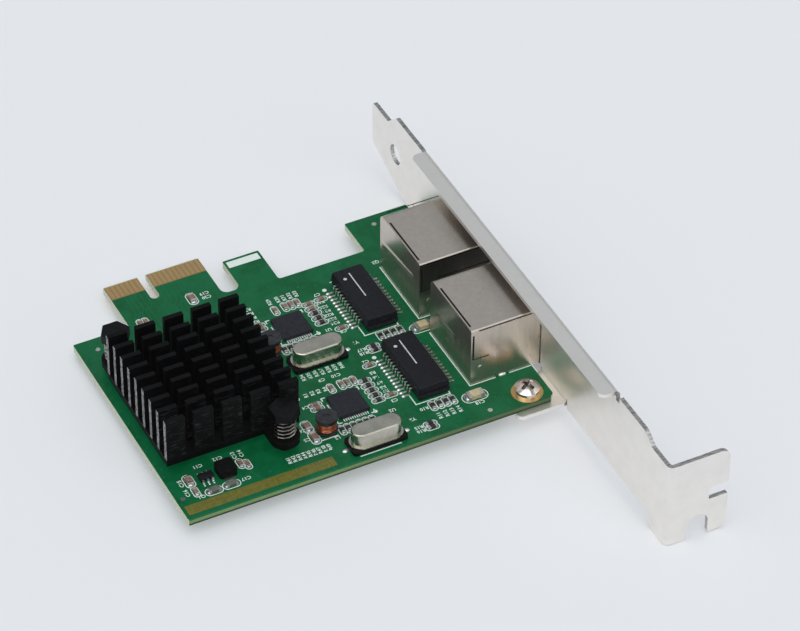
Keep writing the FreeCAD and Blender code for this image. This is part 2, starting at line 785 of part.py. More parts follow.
def network_chip_lands(x, y):
    half = network_chip_size / 2
    inner, outer = half - land_under, half + land_out
    lands = []
    for i in range(land_count):
        offset = (i - (land_count - 1) / 2) * land_pitch
        a, b = offset - land_width / 2, offset + land_width / 2
        z0, z1 = top, top + land_thickness
        lands.append(box(x + a, x + b, y - outer, y - inner, z0, z1))
        lands.append(box(x + a, x + b, y + inner, y + outer, z0, z1))
        lands.append(box(x - outer, x - inner, y + a, y + b, z0, z1))
        lands.append(box(x + inner, x + outer, y + a, y + b, z0, z1))
    return lands


def moulded_body(x, y, size_x, size_y, low, height, draft):
    """Package with sides that slope away from a parting line halfway up."""
    middle = low + height / 2

    def ring(inset, z):
        hx, hy = size_x / 2 - inset, size_y / 2 - inset
        corners = [V(x - hx, y - hy, z), V(x + hx, y - hy, z), V(x + hx, y + hy, z), V(x - hx, y + hy, z)]
        return Part.makePolygon(corners + corners[:1])

    lower = Part.makeLoft([ring(draft, low), ring(0, middle)], True, True)
    upper = Part.makeLoft([ring(0, middle), ring(draft, low + height)], True, True)
    return fuse_all([lower, upper])


def magnetics_levels():
    """Underside, groove and top of a module."""
    low = top + magnetics_lift
    groove = low + (magnetics_height - magnetics_groove) / 2
    return low, groove, groove + magnetics_groove, low + magnetics_height


def magnetics_module(y):
    """Two potted halves with a groove between them, where the leads come out; the lower half is longer."""
    low, groove_low, groove_high, high = magnetics_levels()
    neck_x = magnetics_width - 2 * magnetics_groove_depth
    neck_y = magnetics_length - 2 * magnetics_groove_depth
    neck = box(magnetics_x - neck_x / 2, magnetics_x + neck_x / 2, y - neck_y / 2, y + neck_y / 2,
               groove_low - 0.1, groove_high + 0.1)

    def half(length_y, z0, z1, inset0, inset1):
        rings = []
        for z, inset in ((z0, inset0), (z1, inset1)):
            hx, hy = magnetics_width / 2 - inset, length_y / 2 - inset
            corners = [V(magnetics_x - hx, y - hy, z), V(magnetics_x + hx, y - hy, z),
                       V(magnetics_x + hx, y + hy, z), V(magnetics_x - hx, y + hy, z)]
            rings.append(Part.makePolygon(corners + corners[:1]))
        return Part.makeLoft(rings, True, True)

    lower = half(magnetics_length + 2 * magnetics_step, low, groove_low, magnetics_draft, 0)
    upper = half(magnetics_length, groove_high, high, 0, magnetics_draft)
    return fuse_all([lower, neck, upper])


def gull_lead(body_face, centre_y, direction, sheet, width, shoulder, foot, exit_z):
    """One lead in x and z: out of the body, down and out along the board."""
    foot_z = top + sheet / 2
    path = [(body_face, exit_z), (body_face + direction * shoulder, exit_z),
            (body_face + direction * (shoulder + sheet), foot_z),
            (body_face + direction * (shoulder + sheet + foot), foot_z)]
    return prism_along_y(ribbon(path, sheet), centre_y - width / 2, centre_y + width / 2)


def magnetics_leads(centre_y):
    exit_z = sum(magnetics_levels()[1:3]) / 2
    leads = []
    for i in range(module_leads):
        y = centre_y + (i - (module_leads - 1) / 2) * module_lead_pitch
        for direction in (1, -1):
            face = magnetics_x + direction * (magnetics_width / 2 - magnetics_groove_depth)
            leads.append(gull_lead(face, y, direction, module_lead_sheet, module_lead_width,
                                   magnetics_groove_depth + module_lead_shoulder, module_lead_foot, exit_z))
    return leads


def crystal_base(x, y):
    low = top + crystal_tab_sheet
    half_x, half_y = crystal_base_length / 2, crystal_base_width / 2
    return prism([(x - half_x, y - half_y, 0.6), (x + half_x, y - half_y, 0.6),
                  (x + half_x, y + half_y, 0.6), (x - half_x, y + half_y, 0.6)],
                 low, low + crystal_base_height)


def crystal_can(x, y):
    low = top + crystal_tab_sheet + crystal_base_height
    flange_top = low + crystal_flange_height
    flange = stadium(x, y, crystal_flange_length, crystal_flange_width, low, flange_top)
    can = stadium(x, y, crystal_can_length, crystal_can_width, flange_top, flange_top + crystal_can_height)
    rim = [edge for edge in can.Edges
           if abs(edge.BoundBox.ZMin - can.BoundBox.ZMax) < 1e-4]
    can = can.makeFillet(0.35, rim)
    return fuse_all([flange, can])


def crystal_tabs(x, y):
    tabs = []
    for direction in (1, -1):
        ends = sorted((x + direction * crystal_can_length * 0.3, x + direction * crystal_tab_span / 2))
        tabs.append(box(ends[0], ends[1], y - crystal_tab_width / 2, y + crystal_tab_width / 2,
                        top, top + crystal_tab_sheet))
    return tabs


def drum_core(x, y):
    cap_low = top + drum_height - drum_cap
    foot = rod(x, y, top, top + drum_foot, drum_radius)
    post = rod(x, y, top + drum_foot, cap_low, drum_core_radius)
    cap = rod(x, y, cap_low, top + drum_height, drum_radius)
    dish = rod(x, y, top + drum_height - 0.15, top + drum_height + beyond, drum_radius * 0.3)
    return fuse_all([foot, post, cap]).cut(dish)


def drum_winding(x, y):
    """Copper coil on the post: a solid ring whose outside shows each turn."""
    low = top + drum_foot
    high = top + drum_height - drum_cap
    outer = drum_radius - winding_inset
    turn = (high - low) / winding_turns
    edges = [Part.LineSegment(V(drum_core_radius, 0, high), V(drum_core_radius, 0, low)).toShape(),
             Part.LineSegment(V(drum_core_radius, 0, low), V(outer - turn / 2, 0, low)).toShape()]
    for i in range(winding_turns):
        z = low + i * turn
        rim = outer - turn / 2
        edges.append(Part.Arc(V(rim, 0, z), V(outer, 0, z + turn / 2), V(rim, 0, z + turn)).toShape())
    edges.append(Part.LineSegment(V(outer - turn / 2, 0, high), V(drum_core_radius, 0, high)).toShape())
    ring = Part.Face(Part.Wire(edges)).revolve(V(0, 0, 0), V(0, 0, 1), 360)
    ring.translate(V(x, y, 0))
    return ring


def voltage_regulator():
    x, y = regulator_place
    length, width, height = regulator_size
    return moulded_body(x, y, length, width, top + regulator_lift, height, 0.1)


def regulator_leads():
    x, y = regulator_place
    exit_z = top + regulator_lift + regulator_size[2] / 2
    leads = []
    for i in (-1, 0, 1):
        for direction in (1, -1):
            lead = gull_lead(regulator_size[1] / 2, 0, 1, regulator_lead_sheet, regulator_lead_width,
                             0.25, 0.4, exit_z)
            lead.rotate(V(0, 0, 0), V(0, 0, 1), 90 * direction)
            lead.translate(V(x + i * regulator_lead_pitch, y, 0))
            leads.append(lead)
    return leads


def power_inductor():
    x, y = choke_place
    half = choke_size / 2
    return prism([(x - half, y - half, choke_corner), (x + half, y - half, choke_corner),
                  (x + half, y + half, choke_corner), (x - half, y + half, choke_corner)],
                 top + choke_terminal, top + choke_height)


def power_inductor_terminals():
    x, y = choke_place
    half = choke_size / 2
    return [box(x - half * 0.6, x + half * 0.6, y0, y1, top, top + choke_terminal)
            for y0, y1 in ((y - half - 0.3, y - half * 0.4), (y + half * 0.4, y + half + 0.3))]


def chip_part(place, size):
    """A chip part as its body and its two end caps, lying along x or y."""
    x, y, axis = place
    length, width, height = size
    end = length * end_share
    lengths = ((-length / 2, -length / 2 + end), (-length / 2 + end, length / 2 - end),
               (length / 2 - end, length / 2))
    solids = []
    for a, b in lengths:
        if axis == "x":
            solids.append(box(x + a, x + b, y - width / 2, y + width / 2, top, top + height))
        else:
            solids.append(box(x - width / 2, x + width / 2, y + a, y + b, top, top + height))
    return solids[1], [solids[0], solids[2]]


def chip_parts(groups):
    bodies, ends = [], []
    for places, size in groups:
        for place in places:
            body, caps = chip_part(place, size)
            bodies.append(body)
            ends += caps
    return bodies, ends


def switch_chip():
    x, y = sink_centre
    return moulded_body(x, y, switch_size, switch_size, top, switch_height, 0.1)


def thermal_pad():
    x, y = sink_centre
    half = thermal_pad_size / 2
    low = top + switch_height
    return box(x - half, x + half, y - half, y + half, low, low + thermal_pad_thickness)


def main():
    os.makedirs("parts", exist_ok=True)
    save("circuit_board", [circuit_board()])
    save("edge_contacts", edge_contacts())
    save("bracket", [bracket()])
    save("bracket_screws", [bracket_screw(y) for y in screw_ys])
    save("ring_pads", ring_pads())
    save("heat_sink_base", [heat_sink_base()])
    save("heat_sink_fins", heat_sink_fins())
    save("thermal_pad", [thermal_pad()])
    save("switch_chip", [switch_chip()])
    save("push_pins", [push_pin(*place, turn) for place, turn in zip(pin_places, pin_head_turns)])
    save("pin_springs", [pin_spring(x, y) for x, y in pin_places])
    for i, centre_y in enumerate(jack_centres_y, 1):
        save(f"jack_shield_{i}", [jack_shield(centre_y)])
        save(f"jack_insert_{i}", [jack_insert(centre_y)])
        save(f"contact_carrier_{i}", [contact_carrier(centre_y)])
        save(f"jack_contacts_{i}", jack_contacts(centre_y))
    save("solder_joints", solder_joints())
    for i, place in enumerate(network_chip_places, 1):
        save(f"network_chip_{i}", [network_chip(*place)])
        save(f"network_chip_lands_{i}", network_chip_lands(*place))
    for i, y in enumerate(magnetics_ys, 1):
        save(f"magnetics_module_{i}", [magnetics_module(y)])
        save(f"magnetics_leads_{i}", magnetics_leads(y))
    for i, place in enumerate(crystal_places, 1):
        save(f"crystal_base_{i}", [crystal_base(*place)])
        save(f"crystal_can_{i}", [crystal_can(*place)])
        save(f"crystal_tabs_{i}", crystal_tabs(*place))
    for i, place in enumerate(drum_places, 1):
        save(f"drum_core_{i}", [drum_core(*place)])
        save(f"drum_winding_{i}", [drum_winding(*place)])
    save("voltage_regulator", [voltage_regulator()])
    save("regulator_leads", regulator_leads())
    save("power_inductor", [power_inductor()])
    save("power_inductor_terminals", power_inductor_terminals())
    bodies, ends = chip_parts(((small_capacitors, size_small), (medium_capacitors, size_medium)))
    save("capacitor_bodies", bodies)
    save("capacitor_ends", ends)
    bodies, ends = chip_parts(((small_resistors, size_small),))
    save("resistor_bodies", bodies)
    save("resistor_ends", ends)
    bodies, ends = chip_parts(((large_capacitors, size_large),))
    save("isolation_capacitor_bodies", bodies)
    save("isolation_capacitor_ends", ends)


main()
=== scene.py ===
"""Surfaces, printing and fine detail of a network interface card, laid out as an add-on."""
import math
import random

import bmesh
import bpy
from bpy.props import FloatProperty, FloatVectorProperty, PointerProperty
from mathutils import Matrix, Vector
from mathutils.bvhtree import BVHTree


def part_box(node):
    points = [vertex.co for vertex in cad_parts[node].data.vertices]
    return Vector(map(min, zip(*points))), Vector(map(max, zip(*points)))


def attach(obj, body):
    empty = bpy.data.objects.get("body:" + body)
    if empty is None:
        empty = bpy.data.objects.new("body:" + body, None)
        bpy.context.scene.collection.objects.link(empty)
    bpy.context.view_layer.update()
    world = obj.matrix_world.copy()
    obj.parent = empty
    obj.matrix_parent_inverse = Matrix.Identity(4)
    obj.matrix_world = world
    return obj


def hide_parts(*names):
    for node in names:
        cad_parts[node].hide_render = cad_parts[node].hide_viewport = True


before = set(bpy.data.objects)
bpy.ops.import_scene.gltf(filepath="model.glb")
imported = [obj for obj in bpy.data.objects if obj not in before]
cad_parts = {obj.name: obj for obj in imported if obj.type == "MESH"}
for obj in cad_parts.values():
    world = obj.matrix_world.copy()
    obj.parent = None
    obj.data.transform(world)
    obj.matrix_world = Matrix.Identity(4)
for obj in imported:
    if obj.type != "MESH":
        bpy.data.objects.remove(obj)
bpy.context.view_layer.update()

bl_info = {
    "name": "Network Interface Card",
    "version": (1, 0, 0),
    "blender": (4, 5, 0),
    "location": "View3D > Sidebar > Network Card",
    "description": "Dresses the card's solids and adds printing, tracks, solder and the studio",
    "category": "Object",
}

MM = 0.001
WELD = 1e-6  # corners nearer than this are one, in metres
SUNK = 0.01  # how far a thin layer reaches into what it lies on, in millimetres


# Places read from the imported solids, in millimetres

def span(node):
    """Lowest and highest corner of a solid."""
    low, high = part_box(node)
    return Vector(low) / MM, Vector(high) / MM


def lumps(node):
    """Lowest and highest corner of each separate solid of a node."""
    build = bmesh.new()
    build.from_mesh(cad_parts[node].data)
    bmesh.ops.remove_doubles(build, verts=build.verts, dist=WELD)
    left = set(build.verts)
    boxes = []
    while left:
        front = [left.pop()]
        found = list(front)
        while front:
            for edge in front.pop().link_edges:
                for vert in edge.verts:
                    if vert in left:
                        left.remove(vert)
                        front.append(vert)
                        found.append(vert)
        axes = list(zip(*(vert.co for vert in found)))
        boxes.append((Vector(map(min, axes)) / MM, Vector(map(max, axes)) / MM))
    build.free()
    return sorted(boxes, key=lambda pair: (round(pair[0].y, 3), round(pair[0].x, 3)))


def middle(pair):
    """Half way between a low and a high corner."""
    return (pair[0] + pair[1]) / 2


board_low, board_high = span("circuit_board")
BOARD_TOP = board_high.z
BOARD_BOTTOM = board_low.z


# Node trees: shader sums written as plain expressions

class Value:
    """A node's output. Sums on it add Math nodes."""

    def __init__(self, tree, socket):
        self.tree = tree
        self.socket = socket

    def __add__(self, other):
        return self.tree.maths("ADD", self, other)

    def __radd__(self, other):
        return self.tree.maths("ADD", other, self)

    def __sub__(self, other):
        return self.tree.maths("SUBTRACT", self, other)

    def __rsub__(self, other):
        return self.tree.maths("SUBTRACT", other, self)

    def __mul__(self, other):
        return self.tree.maths("MULTIPLY", self, other)

    def __rmul__(self, other):
        return self.tree.maths("MULTIPLY", other, self)

    def __gt__(self, other):
        return self.tree.maths("GREATER_THAN", self, other)

    def __lt__(self, other):
        return self.tree.maths("LESS_THAN", self, other)

    def __abs__(self):
        return self.tree.maths("ABSOLUTE", self)


class Tree:
    """A node tree that is filled one node at a time."""

    def __init__(self, graph):
        self.graph = graph

    def add(self, kind, settings=None, inputs=None, output=0):
        """Adds a node: its settings first, then the values or links of its sockets."""
        node = self.graph.nodes.new(kind)
        for name, value in (settings or {}).items():
            if name == "stops":
                self.set_stops(node.color_ramp, value)
            else:
                setattr(node, name, value)
        for key, value in (inputs or {}).items():
            if isinstance(value, Value):
                self.graph.links.new(value.socket, node.inputs[key])
            else:
                node.inputs[key].default_value = value
        return Value(self, node.outputs[output]) if node.outputs else None

    @staticmethod
    def set_stops(ramp, stops):
        while len(ramp.elements) < len(stops):
            ramp.elements.new(1.0)
        for element, (place, colour) in zip(ramp.elements, stops):
            element.position = place
            element.color = colour

    def maths(self, operation, *values):
        """A Math node on values and plain numbers."""
        return self.add("ShaderNodeMath", {"operation": operation}, dict(enumerate(values)))


class Finish(Tree):
    """A material: one Principled shader whose varying sockets are fed by noise and masks."""

    def __init__(self, name):
        self.material = bpy.data.materials.new(name)
        self.material.use_nodes = True
        super().__init__(self.material.node_tree)
        self.graph.nodes.clear()
        place = self.add("ShaderNodeTexCoord", output="Object")
        self.place = self.add("ShaderNodeVectorMath", {"operation": "SCALE"}, {0: place, "Scale": 1 / MM})

    def axes(self):
        """The place on the card along x, y and z, in millimetres."""
        parts = self.add("ShaderNodeSeparateXYZ", inputs={0: self.place})
        return [Value(self, socket) for socket in parts.socket.node.outputs]

    def noise(self, scale, detail=3.0, roughness=0.55, stretch=None):
        """Smooth noise from 0 to 1; the scale is in cells for each millimetre."""
        place = self.place
        if stretch:
            place = self.add("ShaderNodeVectorMath", {"operation": "MULTIPLY"}, {0: place, 1: stretch})
        return self.add("ShaderNodeTexNoise", {"noise_dimensions": "3D"},
                        {"Vector": place, "Scale": scale, "Detail": detail, "Roughness": roughness})

    def grains(self, scale):
        """Distance to the nearest of many scattered points."""
        return self.add("ShaderNodeTexVoronoi", {"feature": "F1"}, {"Vector": self.place, "Scale": scale},
                        output="Distance")

    def bands(self, scale, inputs=None):
        """Level bands one above the other, about three to the millimetre at a scale of one."""
        return self.add("ShaderNodeTexWave", {"wave_type": "BANDS", "bands_direction": "Z"},
                        {"Vector": self.place, "Scale": scale, **(inputs or {})}, output="Fac")

    def between(self, value, low, high, out_low=0.0, out_high=1.0):
        """Carries a value from one range to another, held at the ends."""
        ends = {"From Min": low, "From Max": high, "To Min": out_low, "To Max": out_high}
        return self.add("ShaderNodeMapRange", {"interpolation_type": "SMOOTHSTEP"}, {"Value": value, **ends})

    def blend(self, amount, first, second):
        """Colour that goes from the first to the second as the amount goes from 0 to 1."""
        inputs = {"Factor": amount, 6: wide(first), 7: wide(second)}
        return self.add("ShaderNodeMix", {"data_type": "RGBA"}, inputs, output=2)

    def raised(self, height, depth, under=None):
        """A bumped normal; the depth is in millimetres."""
        inputs = {"Strength": 1.0, "Distance": depth * MM, "Height": height}
        if under is not None:
            inputs["Normal"] = under
        return self.add("ShaderNodeBump", inputs=inputs)

    def shade(self, **sockets):
        """Closes the material with these Principled sockets, named with spaces as underscores."""
        inputs = {name.replace("_", " "): wide(value) for name, value in sockets.items()}
        shader = self.add("ShaderNodeBsdfPrincipled", inputs=inputs)
        self.add("ShaderNodeOutputMaterial", inputs={"Surface": shader})
        return self.material


def wide(value):
    """A colour with its alpha, or any other value as it is."""
    return (*value, 1.0) if hasattr(value, "__len__") and len(value) == 3 else value


# Finishes

def shaded_free_edge(finish, look, x, z, layered):
    """The board's front free edge, painted darker than the pale side walls as shade: green above, brown-green
    below, darker to the right, with a painted shadow along its foot.
    """
    colour = finish.blend(finish.between(z + layered * 0.5, -0.8, 0.9), look.edge_dark, look.edge_light)
    colour = finish.blend(finish.between(z + layered * 0.2, 0.4, 0.6), colour, look.mask_light)
    # Darker towards the right, in the colour of the painted shadow line.
    colour = finish.blend(finish.between(x + layered * 20.0, 10.0, 60.0, 0.0, 0.6), colour, look.edge_foot_shadow)
    # Painted shadow: a dark line along the foot of the front wall.
    return finish.blend(finish.between(z - layered * 0.2, -0.6, -0.4, 1.0, 0.0), colour, look.edge_foot_shadow)


def solder_mask(look):
    """Green varnish over glass fibre, with bare laminate on the walls and between the contacts."""
    finish = Finish("solder_mask")
    x, y, z = finish.axes()
    pour = finish.between(finish.noise(0.16, 2.0, 0.4), 0.42, 0.56)
    warp = finish.noise(1.0, 1.0, stretch=(2.4, 0.35, 1.0))
    weave = warp * finish.noise(1.0, 1.0, stretch=(0.35, 2.4, 1.0))
    mottle = finish.noise(0.5, 4.0)
    green = finish.blend(pour, look.mask_dark, look.mask_green)
    green = finish.blend(finish.between(mottle + weave, 0.5, 1.0, 0.0, 0.35), green, look.mask_light)
    layers = finish.bands(1.1, {"Distortion": 1.2, "Detail": 2.0})
    fibres = finish.noise(1.0, 3.0, stretch=(1.1, 1.1, 6.0))
    layered = finish.between(fibres + layers * 0.4, 0.4, 1.0)
    laminate = finish.blend(layered, look.laminate_dark, look.laminate_light)
    # The front wall takes the free edge's colours: painted shade that makes it darker than the pale side
    # walls, over its own green and olive layers.
    front = finish.between(y, board_low.y + 0.02, board_low.y + 0.06, 1.0, 0.0)
    laminate = finish.blend(front, laminate, shaded_free_edge(finish, look, x, z, layered))
    wall = abs(z) < BOARD_TOP - 0.004
    low, high = span("edge_contacts")
    tongue = (y > low.y - 0.15) * (x < high.x + 0.8)
    laminate = finish.blend(wall, look.tongue, laminate)
    bare = finish.maths("MAXIMUM", wall, tongue)
    dust = finish.between(finish.noise(0.8, 5.0), 0.35, 0.8)
    roughness = finish.maths("MAXIMUM", dust * 0.08 + look.mask_roughness, bare * 0.55)
    ripple = finish.noise(1.6, 3.0) + fibres * bare
    return finish.shade(Base_Color=finish.blend(bare, green, laminate), Roughness=roughness,
                        Specular_IOR_Level=0.22, Normal=finish.raised(ripple, 0.01))


def covered_copper(look):
    """Tracks under the varnish: a little lighter than the board round them."""
    finish = Finish("covered_copper")
    tone = finish.noise(0.7, 3.0)
    return finish.shade(Base_Color=finish.blend(tone, look.mask_green, look.mask_light),
                        Roughness=tone * 0.08 + look.mask_roughness * 0.9, Specular_IOR_Level=0.22,
                        Normal=finish.raised(finish.noise(2.0), 0.01))


def bare_band(look):
    """Varnish over laminate with no copper behind it, so it looks olive."""
    finish = Finish("bare_band")
    weave = finish.noise(1.0, 2.0, stretch=(3.0, 0.5, 1.0)) + finish.noise(1.0, 2.0, stretch=(0.5, 3.0, 1.0))
    colour = finish.blend(finish.between(weave, 0.7, 1.3), look.band_dark, look.band_light)
    return finish.shade(Base_Color=colour, Roughness=look.mask_roughness, Specular_IOR_Level=0.25,
                        Normal=finish.raised(weave, 0.01))


def printing_ink(look):
    """White ink, thinner in places."""
    finish = Finish("printing_ink")
    tone = finish.noise(3.0, 4.0)
    return finish.shade(Base_Color=finish.blend(tone, look.ink_shade, look.ink_white),
                        Roughness=tone * 0.15 + 0.5, Normal=finish.raised(finish.noise(9.0), 0.006))


def plating(name, light, dark, roughness, spread=0.1, grain=(8.0, 0.002), metallic=1.0):
    """Plated or bare metal: cloudy tone and roughness, and a fine grain given by its scale and depth."""
    finish = Finish(name)
    cloud = finish.noise(0.35, 4.0)
    colour = finish.blend(finish.between(cloud, 0.3, 0.75), light, dark)
    scale, depth = grain
    return finish.shade(Base_Color=colour, Metallic=metallic,
                        Roughness=cloud * spread + (roughness - spread / 2),
                        Normal=finish.raised(finish.noise(scale, 2.0), depth))


# Ribs pressed in the shields' rear walls: y and z of the far end, then of the near end, in millimetres
RIBS = ((-19.6, 7.6, -33.1, 9.2), (-42.9, 7.3, -50.5, 7.7))


def drawn_nickel(look):
    """Bright sheet of the shields, drawn down its walls, with a pressed rib in each rear wall.

    It is painted darker between the two jacks, as painted shade in the gap, and darker on top beside the
    bracket, as a painted dark reflection.
    """
    finish = Finish("bright_nickel")
    x, y, z = finish.axes()
    upright = (3.2, 3.2, 0.25)
    cloud = finish.noise(0.35, 4.0, stretch=upright)
    normal = finish.raised(finish.noise(1.0, 2.0, stretch=upright), 0.008)
    low, high = span("jack_shield_1")
    rear = x < low.x + 0.06
    rib = 0.0
    for far, far_z, near, near_z in RIBS:
        off = abs(z - ((y - far) * ((near_z - far_z) / (near - far)) + far_z))
        along = finish.between(y, near - 0.4, near + 1.0) * finish.between(y, far - 1.0, far + 0.4, 1.0, 0.0)
        rib = finish.between(off, 0.0, 0.95, 1.0, 0.0) * along * rear + rib
    normal = finish.raised(rib, 0.25, normal)
    gap = middle((low.y, span("jack_shield_2")[1].y))
    # Painted shade: the walls that face the gap between the jacks are darkened.
    painted_gap_shade = (abs(y - gap) < low.y - gap + 0.17) * finish.between(z, 5.0, 7.5)
    colour = finish.blend(finish.between(cloud, 0.3, 0.75), look.nickel, look.nickel_dark)
    colour = finish.blend(painted_gap_shade * 0.68, colour, (0.07, 0.08, 0.11))
    # Painted reflection: the top beside the bracket is darkened where it would mirror dark things.
    painted_bracket_reflection = (z > high.z - 0.05) * finish.between(x, 49.5, 58.0)
    painted_bracket_reflection = painted_bracket_reflection * finish.between(y, -57.0, -36.0, 0.55, 1.0)
    painted_bracket_reflection = painted_bracket_reflection * finish.between(y, -33.0, -21.0, 1.0, 0.35)
    colour = finish.blend(painted_bracket_reflection * 0.85, colour, (0.12, 0.11, 0.1))
    return finish.shade(Base_Color=colour, Metallic=0.95, Roughness=cloud * 0.04 + rib * 0.12 + 0.26,
                        Normal=normal)


def worn_gold(look):
    """Plated contacts with faint wiping marks along the way the card slides in."""
    finish = Finish("worn_gold")
    wipes = finish.noise(1.0, 4.0, stretch=(14.0, 0.35, 1.0))
    cloud = finish.noise(0.6, 3.0)
    colour = finish.blend(finish.between(wipes, 0.35, 0.75), look.gold, look.gold_dark)
    return finish.shade(Base_Color=colour, Metallic=1.0, Roughness=cloud * 0.12 + wipes * 0.12 + 0.18,
                        Normal=finish.raised(wipes, 0.003))


def moulding(name, light, dark, roughness, grain=(5.0, 0.012), sheen=0.12, gloss=0.3):
    """Moulded plastic, epoxy or ceramic: speckled tone and a fine matt grain."""
    finish = Finish(name)
    tone = finish.noise(1.3, 4.0)
    specks = finish.grains(grain[0])
    colour = finish.blend(finish.between(tone, 0.3, 0.75), dark, light)
    return finish.shade(Base_Color=colour, Roughness=tone * sheen + (roughness - sheen / 2),
                        Specular_IOR_Level=gloss, Normal=finish.raised(specks, grain[1]))


def black_anodising(look):
    """Dyed aluminium, with the saw's fine level lines on the fins."""
    finish = Finish("black_anodising")
    sawn = finish.noise(1.0, 3.0, 0.6, stretch=(0.45, 0.45, 3.2))
    tone = finish.noise(0.7, 3.0)
    y, z = finish.axes()[1:]
    low, high = span("heat_sink_fins")
    on_walls = (z < high.z - 0.05) * (z > low.z + 0.05)
    towards_front = finish.between(y, low.y + 9.0, low.y + 2.0, 0.1, 0.9)
    lines = finish.between(sawn, 0.53, 0.66) * on_walls * towards_front
    colour = finish.blend(lines + tone * 0.15, look.anodised, look.anodised_worn)
    return finish.shade(Base_Color=colour, Roughness=sawn * 0.15 + 0.4, Specular_IOR_Level=0.08,
                        Normal=finish.raised(sawn, 0.03))


def sheared_edge(look):
    """The narrow sides of the fins, left grey and grainy where they were cut."""
    finish = Finish("sheared_edge")
    grains = finish.noise(3.2, 5.0, 0.7, stretch=(1.0, 1.0, 0.6))
    colour = finish.blend(finish.between(grains, 0.42, 0.6), look.anodised_worn, look.cut_grey)
    return finish.shade(Base_Color=colour, Metallic=0.6, Roughness=grains * 0.3 + 0.34,
                        Normal=finish.raised(grains, 0.03))


def cut_steel(look):
    """Sheared thickness of the sheet: darker than its faces, streaked through the sheet."""
    finish = Finish("cut_steel")
    streaks = finish.noise(1.0, 4.0, stretch=(0.7, 3.0, 3.0))
    colour = finish.blend(finish.between(streaks, 0.35, 0.65), look.cut_dark, look.cut_light)
    return finish.shade(Base_Color=colour, Metallic=1.0, Roughness=streaks * 0.3 + 0.2,
                        Normal=finish.raised(streaks, 0.02))


def wound_copper(look):
    """Enamelled wire, with one fine ridge for each turn."""
    finish = Finish("wound_copper")
    tone = finish.noise(1.8, 3.0)
    return finish.shade(Base_Color=finish.blend(tone, look.copper_dark, look.copper), Metallic=0.85,
                        Roughness=tone * 0.15 + 0.18, Coat_Weight=0.6,
                        Normal=finish.raised(finish.bands(1.6), 0.02))


# Pieces

def linked(name, data):
    """A new object in the scene."""
    obj = bpy.data.objects.new(name, data)
    bpy.context.scene.collection.objects.link(obj)
    return obj


def place_piece(name, mesh, finish=None):
    """Links a finished mesh as a piece of the card, in the given finish or else in its own."""
    if finish:
        mesh.materials.clear()
        mesh.materials.append(finish_of(finish))
    piece = linked(name, mesh)
    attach(piece, "root")
    return piece


def baked(obj, name):
    """The evaluated shape of an object as a plain mesh; the object is removed."""
    mesh = bpy.data.meshes.new_from_object(obj.evaluated_get(bpy.context.evaluated_depsgraph_get()))
    mesh.name = name
    bpy.data.objects.remove(obj)
    return mesh


def even_shading(mesh):
    """Keeps flat faces flat in the light, so that only rounded edges and curved walls turn it."""
    faces_at = [[] for _ in mesh.vertices]
    for face in mesh.polygons:
        for vert in face.vertices:
            faces_at[vert].append((face.normal.copy(), face.area))
    least = math.cos(math.radians(50))
    normals = []
    for face in mesh.polygons:
        own = face.normal
        for vert in face.vertices:
            total = sum((normal * area for normal, area in faces_at[vert] if normal.dot(own) > least),
                        Vector((0, 0, 0)))
            normals.append(total.normalized() if total.length > 0 else own.copy())
    mesh.normals_split_custom_set(normals)


def eased(node, finish, width, segments=2, second_finish=None):
    """Stands for a solid with the same shape, its sharp edges rounded by the width in millimetres.

    The second finish is a function that gives some faces of the new mesh another material.
    """
    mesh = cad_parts[node].data.copy()
    build = bmesh.new()
    build.from_mesh(mesh)
    bmesh.ops.remove_doubles(build, verts=build.verts, dist=WELD)
    bmesh.ops.dissolve_limit(build, angle_limit=math.radians(0.4), verts=build.verts, edges=build.edges)
    bmesh.ops.triangulate(build, faces=[face for face in build.faces if len(face.verts) > 4])
    for face in build.faces:
        face.smooth = True
    build.to_mesh(mesh)
    build.free()
    rough = linked(node + "_rough", mesh)
    ease = rough.modifiers.new("Ease", "BEVEL")
    ease.width = width * MM
    ease.segments = segments
    ease.limit_method = "ANGLE"
    ease.angle_limit = math.radians(38)
    ease.miter_outer = "MITER_ARC"
    ease.loop_slide = False
    mesh = baked(rough, node + "_eased")
    even_shading(mesh)
    piece = place_piece(node + "_eased", mesh, finish)
    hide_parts(node)
    if second_finish:
        second_finish(mesh)


def refinish(mesh, finish, chosen):
    """Gives another finish to the faces that a function of the face chooses."""
    mesh.materials.append(finish_of(finish))
    for face in mesh.polygons:
        if chosen(face):
            face.material_index = 1


def coat(node, finish):
    """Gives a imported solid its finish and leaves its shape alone."""
    material = finish_of(finish)
    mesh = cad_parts[node].data
    if not mesh.materials:
        mesh.materials.append(material)
    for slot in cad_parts[node].material_slots:
        slot.material = material


def strip(build, path, width, low, high):
    """Adds a flat strip of even width along a path of (x, y) points, with mitred corners."""
    rings = []
    for i, (x, y) in enumerate(path):
        near = [Vector(point) for point in path[max(i - 1, 0):i + 2]]
        ways = [(after - before).normalized() for before, after in zip(near, near[1:])]
        way = sum(ways, Vector((0, 0))).normalized()
        reach = width / 2 / max(way.dot(ways[0]), 0.3)
        side = Vector((-way.y, way.x)) * reach
        rings.append([build.verts.new(Vector((x + s * side.x, y + s * side.y, z)) * MM)
                      for s, z in ((1, low), (1, high), (-1, high), (-1, low))])
    for one, two in zip(rings, rings[1:]):
        for k in range(4):
            build.faces.new((one[k], two[k], two[(k + 1) % 4], one[(k + 1) % 4]))
    build.faces.new(rings[0])
    build.faces.new(rings[-1][::-1])


def plate(build, corners, low, high):
    """Adds a flat plate with the given (x, y) corners, counter-clockwise."""
    under = [build.verts.new(Vector((x, y, low)) * MM) for x, y in corners]
    over = [build.verts.new(Vector((x, y, high)) * MM) for x, y in corners]
    build.faces.new(over)
    build.faces.new(under[::-1])
    for i in range(len(corners)):
        k = (i + 1) % len(corners)
        build.faces.new((under[i], under[k], over[k], over[i]))


